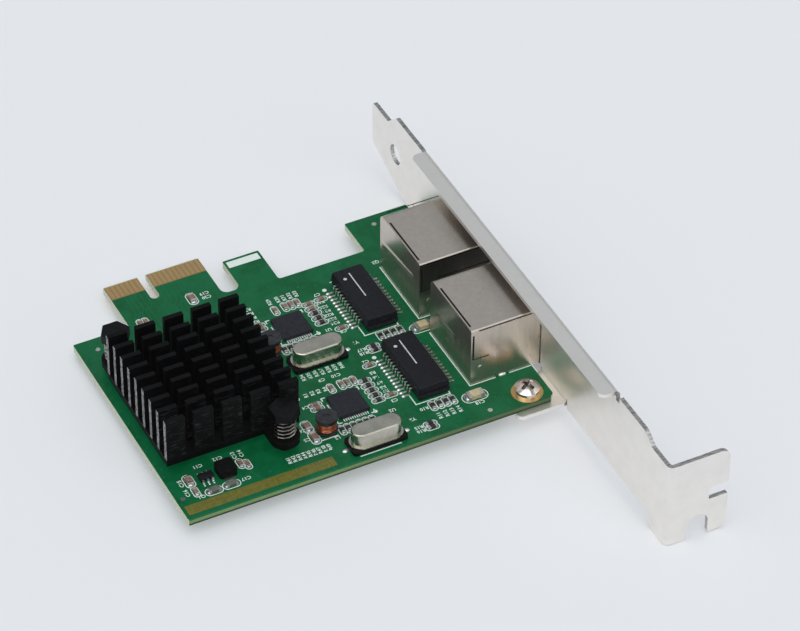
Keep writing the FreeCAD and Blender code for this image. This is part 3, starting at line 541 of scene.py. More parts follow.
def disc(x, y, radius, sides=20):
    """Corners of a round plate."""
    return [(x + radius * math.cos(2 * math.pi * i / sides), y + radius * math.sin(2 * math.pi * i / sides))
            for i in range(sides)]


def drawn_piece(name, draw, finish):
    """Places a piece made by a function that adds strips and plates to an empty shape."""
    build = bmesh.new()
    draw(build)
    bmesh.ops.recalc_face_normals(build, faces=build.faces)
    mesh = bpy.data.meshes.new(name)
    build.to_mesh(mesh)
    build.free()
    place_piece(name, mesh, finish)


# Repeated things, made with Geometry Nodes

class Pattern(Tree):
    """A Geometry Nodes tree that puts one shape on each point, turned by the point's turn."""

    def __init__(self, name, sizes):
        group = bpy.data.node_groups.new(name, "GeometryNodeTree")
        super().__init__(group)
        side = group.interface
        side.new_socket(name="Points", in_out="INPUT", socket_type="NodeSocketGeometry")
        for size, default in sizes.items():
            socket = side.new_socket(name=size, in_out="INPUT", socket_type="NodeSocketFloat")
            socket.default_value = default
        side.new_socket(name="Finish", in_out="INPUT", socket_type="NodeSocketMaterial")
        side.new_socket(name="Shape", in_out="OUTPUT", socket_type="NodeSocketGeometry")
        entry = group.nodes.new("NodeGroupInput")
        self.given = {socket.name: Value(self, socket) for socket in entry.outputs if socket.name}

    def close(self, shape):
        """Puts the shape on the points, makes it real and gives it its finish."""
        turn = self.add("GeometryNodeInputNamedAttribute", {"data_type": "FLOAT"}, {"Name": "turn"})
        angles = self.add("ShaderNodeCombineXYZ", inputs={"Z": turn})
        spread = self.add("GeometryNodeInstanceOnPoints",
                          inputs={"Points": self.given["Points"], "Instance": shape, "Rotation": angles})
        real = self.add("GeometryNodeRealizeInstances", inputs={"Geometry": spread})
        done = self.add("GeometryNodeSetMaterial",
                        inputs={"Geometry": real, "Material": self.given["Finish"]})
        self.add("NodeGroupOutput", inputs={"Shape": done})
        return self.graph

    def vector(self, x, y, z):
        return self.add("ShaderNodeCombineXYZ", inputs={"X": x, "Y": y, "Z": z})

    def swept(self, path, width, height):
        """A bar of the given section along a flat curve."""
        section = self.add("GeometryNodeCurvePrimitiveQuadrilateral", {"mode": "RECTANGLE"},
                           {"Width": width, "Height": height})
        upright = self.add("GeometryNodeSetCurveNormal", {"mode": "Z_UP"}, {"Curve": path})
        return self.add("GeometryNodeCurveToMesh", inputs={"Curve": upright, "Profile Curve": section})


def outline_pattern():
    """A printed outline with round corners."""
    tree = Pattern("printed_outline", {"Length": 2.8 * MM, "Width": 1.4 * MM, "Corner": 0.5 * MM,
                                       "Line": 0.17 * MM, "Ink": 0.03 * MM})
    given = tree.given
    sharp = tree.add("GeometryNodeCurvePrimitiveQuadrilateral", {"mode": "RECTANGLE"},
                     {"Width": given["Length"], "Height": given["Width"]})
    rounded = tree.add("GeometryNodeFilletCurve", {"mode": "POLY"},
                       {"Curve": sharp, "Radius": given["Corner"], "Count": 5})
    return tree.close(tree.swept(rounded, given["Line"], given["Ink"]))


def block_pattern():
    """A flat rectangular pad."""
    tree = Pattern("flat_pad", {"Length": 1.0 * MM, "Width": 1.0 * MM, "Height": 0.04 * MM})
    given = tree.given
    pad = tree.add("GeometryNodeMeshCube",
                   inputs={"Size": tree.vector(given["Length"], given["Width"], given["Height"])})
    lifted = tree.add("GeometryNodeTransform",
                      inputs={"Geometry": pad, "Translation": tree.vector(0.0, 0.0, given["Height"] * 0.5)})
    return tree.close(lifted)


def ring_pattern():
    """A low ring with a hollow middle, such as a via."""
    tree = Pattern("low_ring", {"Radius": 0.25 * MM, "Middle": 0.12 * MM, "Height": 0.03 * MM})
    given = tree.given
    path = tree.add("GeometryNodeCurvePrimitiveCircle", {"mode": "RADIUS"},
                    {"Resolution": 12, "Radius": (given["Radius"] + given["Middle"]) * 0.5})
    return tree.close(tree.swept(path, given["Radius"] - given["Middle"], given["Height"]))


def mound_pattern():
    """A small mound of solder, longer along the way that it is turned."""
    tree = Pattern("solder_mound", {"Length": 0.5 * MM, "Width": 0.6 * MM, "Height": 0.25 * MM})
    given = tree.given
    ball = tree.add("GeometryNodeMeshUVSphere", inputs={"Segments": 10, "Rings": 6, "Radius": 1.0})
    sized = tree.add("GeometryNodeTransform", inputs={
        "Geometry": ball, "Scale": tree.vector(given["Length"] * 0.5, given["Width"] * 0.5, given["Height"])})
    return tree.close(tree.add("GeometryNodeSetShadeSmooth", inputs={"Geometry": sized}))


patterns = {}


def repeated(name, make, points, finish, slot, **sizes):
    """Runs a pattern over (x, y, z, turn) points and keeps the result as one plain piece."""
    if make not in patterns:
        patterns[make] = make()
    group = patterns[make]
    seed = bpy.data.meshes.new(name)
    seed.from_pydata([Vector(point[:3]) * MM for point in points], [], [])
    turns = seed.attributes.new("turn", "FLOAT", "POINT")
    turns.data.foreach_set("value", [point[3] for point in points])
    holder = linked(name + "_points", seed)
    modifier = holder.modifiers.new("Pattern", "NODES")
    modifier.node_group = group
    for item in group.interface.items_tree:
        if item.in_out == "INPUT" and item.name in sizes:
            modifier[item.identifier] = sizes[item.name] * MM
        elif item.in_out == "INPUT" and item.name == "Finish":
            modifier[item.identifier] = finish_of(finish)
    place_piece(name, baked(holder, name))


# Sizes and colours that a user would change

def colour(label, about, value):
    """A colour that a user can change."""
    return FloatVectorProperty(name=label, description=about, default=value, subtype="COLOR", min=0.0,
                               max=1.0)


def length(label, about, value):
    """A length that a user can change, with its default in millimetres."""
    return FloatProperty(name=label, description=about, default=value * MM, unit="LENGTH", precision=5,
                         min=0.0)


def amount(label, about, value, **limits):
    """A plain number that a user can change."""
    return FloatProperty(name=label, description=about, default=value, min=0.0, **limits)


class BoardLook(bpy.types.PropertyGroup):
    mask_green: colour("Mask", "Varnish over copper", (0.003, 0.105, 0.036))
    mask_light: colour("Mask light", "Lightest tone of the varnish", (0.008, 0.14, 0.055))
    mask_dark: colour("Mask dark", "Varnish where no copper lies below", (0.002, 0.085, 0.027))
    mask_roughness: amount("Mask roughness", "Gloss of the varnish", 0.3, max=1.0, subtype="FACTOR")
    laminate_light: colour("Laminate light", "Cut edges of the board", (0.66, 0.68, 0.58))
    laminate_dark: colour("Laminate dark", "Fibres in the cut edges", (0.42, 0.46, 0.32))
    # The free edge colours hold painted shade: the front wall is darker than the pale side walls, and its
    # foot line is a painted shadow.
    edge_light: colour("Free edge light", "Upper part of the stained free edge", (0.22, 0.31, 0.12))
    edge_dark: colour("Free edge dark", "Lower part of the stained free edge", (0.1, 0.18, 0.06))
    edge_foot_shadow: colour("Free edge line", "Dark line along the foot of the free edge", (0.025, 0.045, 0.025))
    tongue: colour("Tongue", "Bare laminate between the contacts", (0.26, 0.17, 0.08))
    band_light: colour("Band light", "Olive band along the free edge", (0.17, 0.15, 0.03))
    band_dark: colour("Band dark", "Weave in the olive band", (0.1, 0.11, 0.022))
    track_width: length("Track width", "Width of a signal track", 0.2)
    track_height: length("Track height", "How far a track stands under the varnish", 0.018)
    gold: colour("Gold", "Plated contacts", (0.72, 0.5, 0.24))
    gold_dark: colour("Gold dark", "Wiping marks on the contacts", (0.56, 0.37, 0.16))


class PrintLook(bpy.types.PropertyGroup):
    ink_white: colour("Ink", "Printing on the board", (0.76, 0.82, 0.78))
    ink_shade: colour("Ink shade", "Thin places in the printing", (0.58, 0.68, 0.62))
    line: length("Line", "Width of a printed line", 0.19)
    ink: length("Ink thickness", "How far the printing stands up", 0.025)
    mark: length("Mark height", "Height of the designators beside the parts", 0.8)


class MetalLook(bpy.types.PropertyGroup):
    steel: colour("Steel", "Bracket", (0.9, 0.87, 0.83))
    steel_dark: colour("Steel dark", "Cloudy tone in the bracket", (0.86, 0.83, 0.79))
    cut_light: colour("Cut steel", "Sheared thickness of the bracket", (0.62, 0.61, 0.59))
    cut_dark: colour("Cut steel dark", "Streaks in the sheared thickness", (0.3, 0.29, 0.28))
    nickel: colour("Nickel", "Jack shields", (0.62, 0.56, 0.5))
    nickel_dark: colour("Nickel dark", "Cloudy tone in the shields", (0.56, 0.5, 0.44))
    can: colour("Can", "Crystal cans", (0.56, 0.54, 0.46))
    can_dark: colour("Can dark", "Cloudy tone in the cans", (0.44, 0.42, 0.36))
    tin: colour("Tin", "Solder and leads", (0.72, 0.72, 0.72))
    tin_dark: colour("Tin dark", "Dull places in the solder", (0.5, 0.5, 0.5))
    copper: colour("Copper", "Inductor windings", (0.62, 0.17, 0.055))
    copper_dark: colour("Copper dark", "Enamel between the turns", (0.14, 0.03, 0.012))
    anodised: colour("Anodised", "Heat sink", (0.0028, 0.0028, 0.0032))
    anodised_worn: colour("Anodised worn", "Rubbed places on the heat sink", (0.03, 0.03, 0.031))
    cut_grey: colour("Cut grey", "Sheared sides of the fins", (0.42, 0.42, 0.42))


class StudioLook(bpy.types.PropertyGroup):
    floor: colour("Floor", "Plain pale floor", (0.78, 0.79, 0.81))
    surround: colour("Surround", "Light from all round", (0.9, 0.95, 1.0))
    surround_strength: amount("Surround strength", "Strength of the light from all round", 0.47)
    key: amount("Side light", "Strength of the broad side light", 0.75)
    fill: amount("Front light", "Strength of the broad front light", 0.55)
    top: amount("Overhead light", "Strength of the broad light above", 0.85)
    lens: FloatProperty(name="Lens", description="Focal length of the camera", default=181.85, min=1.0,
                        unit="CAMERA")


shared = {}


def finish_of(name):
    """Materials that several pieces share, made once each."""
    if name not in shared:
        scene = bpy.context.scene
        board, metal = scene.card_board, scene.card_metal
        makers = {
            "mask": lambda: solder_mask(board),
            "track": lambda: covered_copper(board),
            "band": lambda: bare_band(board),
            "ink": lambda: printing_ink(scene.card_print),
            "gold": lambda: worn_gold(board),
            "tin": lambda: plating("soft_tin", metal.tin, metal.tin_dark, 0.3, 0.16, grain=(4.0, 0.01)),
            "steel": lambda: plating("satin_steel", metal.steel, metal.steel_dark, 0.36, 0.04,
                                     grain=(11.0, 0.001), metallic=0.9),
            "screw": lambda: plating("polished_screw", (0.75, 0.7, 0.66), (0.5, 0.45, 0.42), 0.14, 0.05),
            # Darker finish for the cross in the screw heads: painted shade.
            "recess": lambda: plating("screw_recess", (0.36, 0.32, 0.3), (0.2, 0.18, 0.17), 0.3),
            "lead": lambda: plating("tinned_lead", (0.62, 0.62, 0.58), (0.45, 0.45, 0.42), 0.2, 0.08),
            # Darker tin for the leads and joints on the jacks' side: painted shade.
            "far_lead_shade": lambda: plating("dull_lead", (0.4, 0.42, 0.38), (0.28, 0.3, 0.26), 0.2, 0.08),
            "solder": lambda: plating("bright_solder", (0.9, 0.9, 0.88), (0.75, 0.75, 0.74), 0.3, 0.16,
                                      grain=(4.0, 0.01), metallic=0.8),
            "land": lambda: plating("pale_land", (0.9, 0.9, 0.88), (0.8, 0.8, 0.79), 0.45, metallic=0.3),
            "spring": lambda: plating("spring_wire", (0.46, 0.42, 0.39), (0.26, 0.23, 0.21), 0.16, 0.08),
            "nickel": lambda: drawn_nickel(metal),
            "can": lambda: plating("satin_nickel", metal.can, metal.can_dark, 0.24, 0.06),
            "copper": lambda: wound_copper(metal),
            "anodised": lambda: black_anodising(metal),
            "cut": lambda: sheared_edge(metal),
            "cut_steel": lambda: cut_steel(metal),
            "epoxy": lambda: moulding("chip_epoxy", (0.02, 0.021, 0.027), (0.012, 0.013, 0.018), 0.5,
                                      gloss=0.25),
            "module": lambda: moulding("module_epoxy", (0.012, 0.012, 0.016), (0.007, 0.007, 0.01), 0.42,
                                       gloss=0.22),
            "nylon": lambda: moulding("black_nylon", (0.006, 0.006, 0.008), (0.003, 0.003, 0.004), 0.4,
                                      gloss=0.15),
            "base": lambda: moulding("black_base", (0.006, 0.006, 0.006), (0.003, 0.003, 0.003), 0.5,
                                     gloss=0.15),
            "insert": lambda: moulding("jack_insert", (0.012, 0.012, 0.013), (0.007, 0.007, 0.008), 0.4,
                                       gloss=0.25),
            "ferrite": lambda: moulding("ferrite", (0.03, 0.031, 0.036), (0.012, 0.012, 0.014), 0.32,
                                        grain=(3.0, 0.02), gloss=0.4),
            "brown": lambda: moulding("brown_ceramic", (0.26, 0.17, 0.13), (0.19, 0.12, 0.09), 0.42),
            "grey": lambda: moulding("grey_ceramic", (0.16, 0.17, 0.14), (0.1, 0.11, 0.09), 0.42),
            "black": lambda: moulding("black_glaze", (0.045, 0.038, 0.038), (0.022, 0.018, 0.018), 0.3),
            "beige": lambda: moulding("beige_ceramic", (0.55, 0.47, 0.3), (0.45, 0.37, 0.22), 0.42),
            "filler": lambda: moulding("thermal_filler", (0.5, 0.5, 0.56), (0.4, 0.4, 0.46), 0.7),
            "pale": lambda: moulding("pale_print", (0.62, 0.64, 0.64), (0.45, 0.47, 0.47), 0.6),
        }
        shared[name] = makers[name]()
    return shared[name]


# Board

def route(start, end, turn_at):
    """A track that runs along x, takes a 45 degree step to the other y, and runs on."""
    (x0, y0), (x1, y1) = start, end
    way = 1 if x1 > x0 else -1
    step = abs(y1 - y0)
    bend = x0 + way * turn_at
    return [(x0, y0), (bend, y0), (bend + way * step, y1), (x1, y1)] if step > 0.01 else [(x0, y0), (x1, y1)]


def track_paths():
    """Signal tracks between chips, modules, jacks and contacts, in millimetres."""
    land_step, lead_step, tail_step = 0.4, 1.0, 1.02
    tails, sink_side = 44.9, 9.3
    tongue_top, under_sink = -4.6, -25.0
    paths = []
    for i in (1, 2):
        chip = span(f"network_chip_lands_{i}")
        leads = span(f"magnetics_leads_{i}")
        chip_y, lead_y, jack_y = middle(chip).y, middle(leads).y, middle(span(f"jack_contacts_{i}")).y
        for off in (-3.5, -2.5, -1.5, -0.5, 0.5, 1.5, 2.5, 3.5):
            paths.append(route((chip[1].x, chip_y + off * land_step), (leads[0].x, lead_y + off * lead_step),
                               0.6 + 0.35 * abs(off)))
        for off in (-2.5, -1.5, -0.5, 0.5, 1.5, 2.5):
            far = (tails, jack_y + off * tail_step)
            paths.append(route((leads[1].x, lead_y + off * lead_step), far, 0.5))
        for off in (-2, -1, 0, 1, 2):
            far = (sink_side, chip_y - 2.0 + off * 0.7)
            paths.append(route((chip[0].x, chip_y + off * land_step), far, 1.0))
    for k in range(6):
        x, bend = 1.5 + k, -9.0 - 0.4 * k
        paths.append([(x, tongue_top), (x, bend), (x - 1.2, bend - 1.2), (x - 1.2, under_sink)])
    for k in range(5):
        x, bend = -1.5 - k, -8.8 - 0.4 * k
        paths.append([(x, tongue_top), (x, bend), (x - 0.9, bend - 0.9), (x - 0.9, under_sink)])
    for k in range(4):
        x, y = 44.6 + k * 0.6, -60.0 - k * 0.5
        paths.append([(x, y), (x + 1.4, y - 1.5), (x + 1.4, -65.2)])
        x = -19.0 + 0.5 * k
        paths.append([(x, -50.0), (x, -28.0 + k), (x + 1.5, -26.5 + k)])
    return paths


# Through-holes: places tried, the most that are kept, and their least room and distance in millimetres
VIA_TRIES = 700
VIAS_AT_MOST = 150
VIA_ROOM = 0.5
VIA_DISTANCE = 1.6


def via_points():
    """Plated through-holes: in rows along two edges, and scattered where nothing stands on the board."""
    pick = random.Random(11)
    points = [(-18.5 + k * 2.85, -65.85) for k in range(26)] + [(-19.3, -62.0 + k * 4.0) for k in range(12)]
    standing = [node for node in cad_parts
                if node not in ("circuit_board", "bracket", "edge_contacts", "solder_joints")]
    room = Vector((VIA_ROOM, VIA_ROOM, 0.0))
    boxes = [(low - room, high + room) for node in standing for low, high in lumps(node)]
    for _ in range(VIA_TRIES):
        x, y = pick.uniform(-19, 42), pick.uniform(-62, -14)
        clear = not any(low.x < x < high.x and low.y < y < high.y for low, high in boxes)
        apart = all(math.hypot(x - a, y - b) > VIA_DISTANCE for a, b in points)
        if clear and apart and len(points) < VIAS_AT_MOST:
            points.append((round(x, 2), round(y, 2)))
    return points


# The olive band's corners and the fiducial dots, in millimetres
OLIVE_BAND = ((-19.3, -65.4), (11.0, -65.4), (11.0, -62.9), (-19.3, -62.9))
FIDUCIALS = ((-16.2, -16.2), (-18.6, -60.9), (47.9, -6.5), (43.4, -64.8))
UNDERSIDE_TRACKS = 30


class CARD_OT_board(bpy.types.Operator):
    """Varnish, laminate, tracks, vias, olive band and fiducials of the circuit board"""
    bl_idname = "network_card.board"
    bl_label = "Board"

    def execute(self, context):
        look = context.scene.card_board
        width, rise = look.track_width / MM, look.track_height / MM
        low, top = BOARD_BOTTOM, BOARD_TOP
        coat("circuit_board", "mask")

        def draw_tracks(build):
            paths = track_paths()
            for path in paths:
                strip(build, path, width, top - SUNK, top + rise)
            for path in paths[:UNDERSIDE_TRACKS]:
                strip(build, [(x, y - 0.6) for x, y in path], width, low - rise, low + SUNK)

        def draw_spots(build):
            for x, y in FIDUCIALS:
                plate(build, disc(x, y, 0.5), top - SUNK, top + 0.02)

        drawn_piece("tracks", draw_tracks, "track")
        vias = [(x, y, z, 0.0) for x, y in via_points() for z in (top, low)]
        repeated("vias", ring_pattern, vias, "track", "solder_mask", Radius=0.3, Middle=0.12, Height=0.04)
        drawn_piece("olive_band", lambda build: plate(build, OLIVE_BAND, top - SUNK, top + 0.006), "band")
        drawn_piece("fiducials", draw_spots, "tin")
        return {"FINISHED"}


class CARD_OT_contacts(bpy.types.Operator):
    """Gold of the edge contacts, of the screws' pads and of the jack contacts"""
    bl_idname = "network_card.contacts"
    bl_label = "Contacts"

    def execute(self, context):
        for node in ("edge_contacts", "ring_pads", "jack_contacts_1", "jack_contacts_2"):
            coat(node, "gold")
        return {"FINISHED"}


# Printing

# Designators of the parts: letter, then x, y and turn of each, in millimetres and degrees
DESIGNATORS = (
    ("C", [(12.1, -45.8, 90), (28.3, -42.2, 180), (28.4, -54.3, 180), (12.4, -48.7, 180), (8.8, -56.8, 180),
           (9.1, -54.2, 180), (28.4, -20.6, 180), (28.4, -32.4, 180), (18.5, -43.1, 180), (21.5, -43.1, 180),
           (-12.6, -54.2, 180), (-8.4, -53.9, 180), (-5.3, -54.5, 90), (-3.9, -54.6, 90), (-17.3, -57.1, 90),
           (-17.3, -59.9, 90), (-5.8, -61.1, 180), (42.7, -62.0, 180), (8.9, -10.4, 180), (8.9, -11.6, 180)]),
    ("R", [(13.9, -45.7, 90), (15.3, -45.7, 90), (16.6, -45.7, 90), (18.0, -45.7, 90), (28.1, -45.6, 180),
           (28.1, -47.0, 180), (28.1, -48.6, 180), (28.1, -50.1, 180), (28.1, -51.3, 180), (32.4, -58.9, 180),
           (34.2, -61.9, 90), (35.6, -61.9, 90), (37.0, -61.9, 90), (38.4, -61.9, 90), (29.1, -63.1, 180),
           (29.1, -64.2, 180), (29.1, -38.8, 180), (29.1, -39.9, 180), (28.0, -23.1, 180), (28.0, -24.4, 180),
           (28.0, -25.7, 180), (28.0, -27.0, 180), (28.0, -28.3, 180), (28.0, -29.6, 180), (14.2, -18.6, 180),
           (14.2, -19.9, 180), (14.2, -21.2, 180), (14.2, -22.5, 180), (19.1, -18.5, 90), (20.9, -18.5, 90),
           (22.2, -18.5, 90), (23.5, -18.5, 90), (24.8, -18.5, 90)]
     + [(15.6 + 1.35 * k, -41.0, 90) for k in range(7)] + [(3.4 + 1.05 * k, -60.4, 90) for k in range(9)]),
    ("L", [(13.3, -34.2, 180), (14.2, -58.8, 180)]),
    ("Y", [(29.0, -36.4, 180), (29.1, -60.6, 180)]),
    ("U", [(25.9, -30.8, 180), (26.8, -56.6, 180)]),
    ("Q", [(-15.2, -61.9, 180), (43.0, -17.0, 180)]),
)


def designators(build, look):
    """Adds the printed letters and numbers that name each part on a board."""
    for letter, places in DESIGNATORS:
        for number, (x, y, turn) in enumerate(places, 1):
            words = bpy.data.curves.new("designator", "FONT")
            words.body = f"{letter}{number}"
            words.align_x = words.align_y = "CENTER"
            words.size = look.mark / 0.7
            words.extrude = look.ink / 2
            words.offset = look.line * 0.1
            words.resolution_u = 2
            mesh = baked(linked("designator", words), "designator")
            mesh.transform(Matrix.Translation(Vector((x, y, BOARD_TOP)) * MM)
                           @ Matrix.Rotation(math.radians(turn), 4, "Z"))
            build.from_mesh(mesh)
            bpy.data.meshes.remove(mesh)
            bpy.data.curves.remove(words)


def printed_lines():
    """Lines beside the jacks, modules, chips, drums and one crystal, in millimetres."""
    lines = []
    for i in (1, 2):
        low, high = span(f"jack_shield_{i}")
        back = low.x - 0.12
        lines.append([(back, high.y - 0.2), (back, low.y), (48.6, low.y)])
        lines.append([(51.5, low.y), (56.2, low.y)])
        low, high = span(f"magnetics_module_{i}")
        edge = low.y - 0.3
        lines.append([(31.5, edge + 3.0), (31.5, edge), (high.x - 0.2, edge), (high.x - 0.2, edge + 1.2)])
        lines.append([(32.2, high.y + 0.3), (high.x - 0.2, high.y + 0.3)])
        low, high = span(f"network_chip_{i}")
        arm = 0.8
        for x, way_x in ((low.x - 0.75, arm), (high.x + 0.75, -arm)):
            for y, way_y in ((low.y - 0.75, arm), (high.y + 0.75, -arm)):
                lines.append([(x + way_x, y), (x, y), (x, y + way_y)])
        lines.append([(low.x - 0.4, high.y - 1.2), (low.x - 0.4, low.y + 0.4)])
        low, high = span(f"drum_core_{i}")
        lines.append([(low.x, low.y - 0.12), (high.x - 0.8, low.y - 0.12)])
    low, high = span("crystal_base_2")
    lines.append([(low.x + 1.2, low.y - 0.14), (high.x - 1.6, low.y - 0.14)])
    return lines


# Printed outline of a chip part, its length and width, by the part's height, all in millimetres
OUTLINES = {0.5: (2.75, 1.3), 0.7: (3.5, 1.9), 1.0: (5.2, 2.7)}
WHITE_FIELD = ((16.5, -5.9), (23.3, -5.9), (23.3, -4.1), (16.5, -4.1))


class CARD_OT_printing(bpy.types.Operator):
    """White printing: part outlines, lines round the jacks and modules, dots and the parts' designators"""
    bl_idname = "network_card.printing"
    bl_label = "Printing"

    def execute(self, context):
        look = context.scene.card_print
        line, ink = look.line / MM, look.ink / MM
        under, over = BOARD_TOP - SUNK, BOARD_TOP + ink
        groups = {}
        for node in ("capacitor_bodies", "resistor_bodies", "isolation_capacitor_bodies"):
            for low, high in lumps(node):
                size = high - low
                turn = 0.0 if size.x > size.y else math.pi / 2
                point = (*middle((low, high)).xy, BOARD_TOP + ink / 2, turn)
                groups.setdefault(round(size.z, 1), []).append(point)
        for height, points in groups.items():
            long_side, short_side = OUTLINES[height]
            repeated(f"outlines_{int(height * 10)}", outline_pattern, points, "ink", "solder_mask",
                     Length=long_side, Width=short_side, Corner=short_side * 0.46, Line=line, Ink=ink)

        def draw_lines(build):
            for path in printed_lines():
                strip(build, path, line * 1.25, under, over)
            designators(build, look)
            for i in (1, 2):
                high = span(f"magnetics_module_{i}")[1]
                plate(build, disc(30.3, high.y - 1.3, 0.45, 14), under, over)
                low, high = span(f"network_chip_{i}")
                plate(build, disc(high.x + 0.8, low.y - 0.7, 0.42, 14), under, over)
            plate(build, WHITE_FIELD, under, over)

        drawn_piece("printed_lines", draw_lines, "ink")
        return {"FINISHED"}


# Parts

def grey_sides(mesh):
    """The outer narrow sides of the outermost fins, grey where they were cut."""
    low, high = span("heat_sink_fins")
    refinish(mesh, "cut", lambda face: abs(face.normal.x) > 0.9
             and not low.x + 0.2 <= face.center.x / MM <= high.x - 0.2)


class CARD_OT_heat_sink(bpy.types.Operator):
    """Heat sink, its two pins and springs, and what lies under it"""
    bl_idname = "network_card.heat_sink"
    bl_label = "Heat sink"

    def execute(self, context):
        eased("heat_sink_base", "anodised", 0.07)
        eased("heat_sink_fins", "anodised", 0.07, second_finish=grey_sides)
        eased("push_pins", "nylon", 0.12)
        coat("pin_springs", "spring")
        coat("thermal_pad", "filler")
        coat("switch_chip", "epoxy")
        return {"FINISHED"}


class CARD_OT_chips(bpy.types.Operator):
    """Network chips with their lands, voltage regulator and power inductor"""
    bl_idname = "network_card.chips"
    bl_label = "Chips"

    def execute(self, context):
        lands = []
        for i in (1, 2):
            eased(f"network_chip_{i}", "epoxy", 0.05, 1)
            coat(f"network_chip_lands_{i}", "tin")
            low, high = span(f"network_chip_{i}")
            for k in range(12):
                x = middle((low, high)).x + (k - 5.5) * 0.45
                lands += [(x, y, BOARD_TOP, math.pi / 2) for y in (low.y - 0.25, high.y + 0.25)]
        repeated("chip_lands", block_pattern, lands, "land", "tin_plating", Length=0.85, Width=0.2,
                 Height=0.06)
        eased("voltage_regulator", "module", 0.05, 1)
        eased("power_inductor", "base", 0.18, 3)
        coat("regulator_leads", "tin")
        coat("power_inductor_terminals", "tin")
        centre_y = middle(span("regulator_leads")).y
        feet = []
        for pair in lumps("regulator_leads"):
            x, y = middle(pair).xy
            feet.append((x, y + math.copysign(0.5, y - centre_y), BOARD_TOP + 0.04, math.pi / 2))
        repeated("regulator_solder", mound_pattern, feet, "tin", "tin_plating", Length=0.7, Width=0.5,
                 Height=0.16)
        return {"FINISHED"}


def joints_beside(node, reach):
    """Solder points at the ends of a node's leads: those on its -x side, then those on its +x side."""
    centre = middle(span(node)).x
    sides = [], []
    for pair in lumps(node):
        x, y = middle(pair).xy
        right = x > centre
        end = pair[1].x + reach if right else pair[0].x - reach
        sides[right].append((end, y, BOARD_TOP + 0.05, 0.0))
    return sides


def shaded_far_leads(mesh):
    """Darker tin on the leads at the jacks' side: painted shade, where the module's body shades them."""
    centre = middle(span("magnetics_module_1")).x
    refinish(mesh, "far_lead_shade", lambda face: face.center.x / MM > centre)


class CARD_OT_magnetics(bpy.types.Operator):
    """Isolating modules with their leads, solder and printed marks"""
    bl_idname = "network_card.magnetics"
    bl_label = "Magnetics"

    def execute(self, context):
        bright, shaded_joints = [], []
        for i in (1, 2):
            eased(f"magnetics_module_{i}", "module", 0.14)
            eased(f"magnetics_leads_{i}", "lead", 0.03, 1, shaded_far_leads)
            left, right = joints_beside(f"magnetics_leads_{i}", -0.3)
            bright += left
            shaded_joints += right
        repeated("module_solder", mound_pattern, bright, "solder", "tin_plating", Length=0.95, Width=0.66,
                 Height=0.34)
        # The joints on the jacks' side are darker: painted shade.
        repeated("module_solder_far", mound_pattern, shaded_joints, "far_lead_shade", "tin_plating", Length=0.8, Width=0.6,
                 Height=0.16)

        def draw_marks(build):
            for i in (1, 2):
                low, high = span(f"magnetics_module_{i}")
                x, under, over = middle((low, high)).x, high.z - SUNK, high.z + 0.015
                strip(build, [(x - 0.3, high.y - 2.0), (x - 0.3, high.y - 9.4)], 0.24, under, over)
                plate(build, disc(x - 1.75, high.y - 3.3, 0.36, 14), under, over)

        drawn_piece("module_marks", draw_marks, "pale")
        return {"FINISHED"}


class CARD_OT_crystals(bpy.types.Operator):
    """Crystal cans with their bases, tabs and solder"""
    bl_idname = "network_card.crystals"
    bl_label = "Crystals"

    def execute(self, context):
        solder = []
        for i in (1, 2):
            eased(f"crystal_can_{i}", "can", 0.06)
            eased(f"crystal_base_{i}", "base", 0.12)
            coat(f"crystal_tabs_{i}", "tin")
            left, right = joints_beside(f"crystal_tabs_{i}", 0.25)
            solder += left + right
        repeated("crystal_solder", mound_pattern, solder, "solder", "tin_plating", Length=1.3, Width=1.0,
                 Height=0.28)
        return {"FINISHED"}


class CARD_OT_inductors(bpy.types.Operator):
    """Drum inductors: ferrite and winding"""
    bl_idname = "network_card.inductors"
    bl_label = "Inductors"

    def execute(self, context):
        for i in (1, 2):
            eased(f"drum_core_{i}", "ferrite", 0.12, 3)
            coat(f"drum_winding_{i}", "copper")
        return {"FINISHED"}


def grey_pair(mesh):
    """Grey bodies for the two capacitors in front of the regulator."""
    front = span("voltage_regulator")[0].y - 1.6
    refinish(mesh, "grey", lambda face: face.center.y / MM < front and -14.0 < face.center.x / MM < -7.0)


class CARD_OT_chip_parts(bpy.types.Operator):
    """Capacitors and resistors with their tinned ends, pads and solder"""
    bl_idname = "network_card.chip_parts"
    bl_label = "Chip parts"

    def execute(self, context):
        eased("capacitor_bodies", "brown", 0.04, 1, grey_pair)
        eased("resistor_bodies", "black", 0.04, 1)
        eased("isolation_capacitor_bodies", "beige", 0.04, 1)
        ends = {}
        for node in ("capacitor_ends", "resistor_ends", "isolation_capacitor_ends"):
            eased(node, "tin", 0.05, 1)
            for low, high in lumps(node):
                size = high - low
                turn = 0.0 if size.x < size.y else math.pi / 2
                point = (*middle((low, high)).xy, BOARD_TOP, turn)
                ends.setdefault(round(max(size.x, size.y), 2), []).append(point)
        for width, points in ends.items():
            name = int(width * 100)
            repeated(f"part_pads_{name}", block_pattern, points, "tin", "tin_plating",
                     Length=width * 0.95, Width=width * 1.05, Height=0.035)
            repeated(f"part_solder_{name}", mound_pattern, points, "tin", "tin_plating",
                     Length=width * 0.86, Width=width * 0.98, Height=width * 0.22)
        return {"FINISHED"}


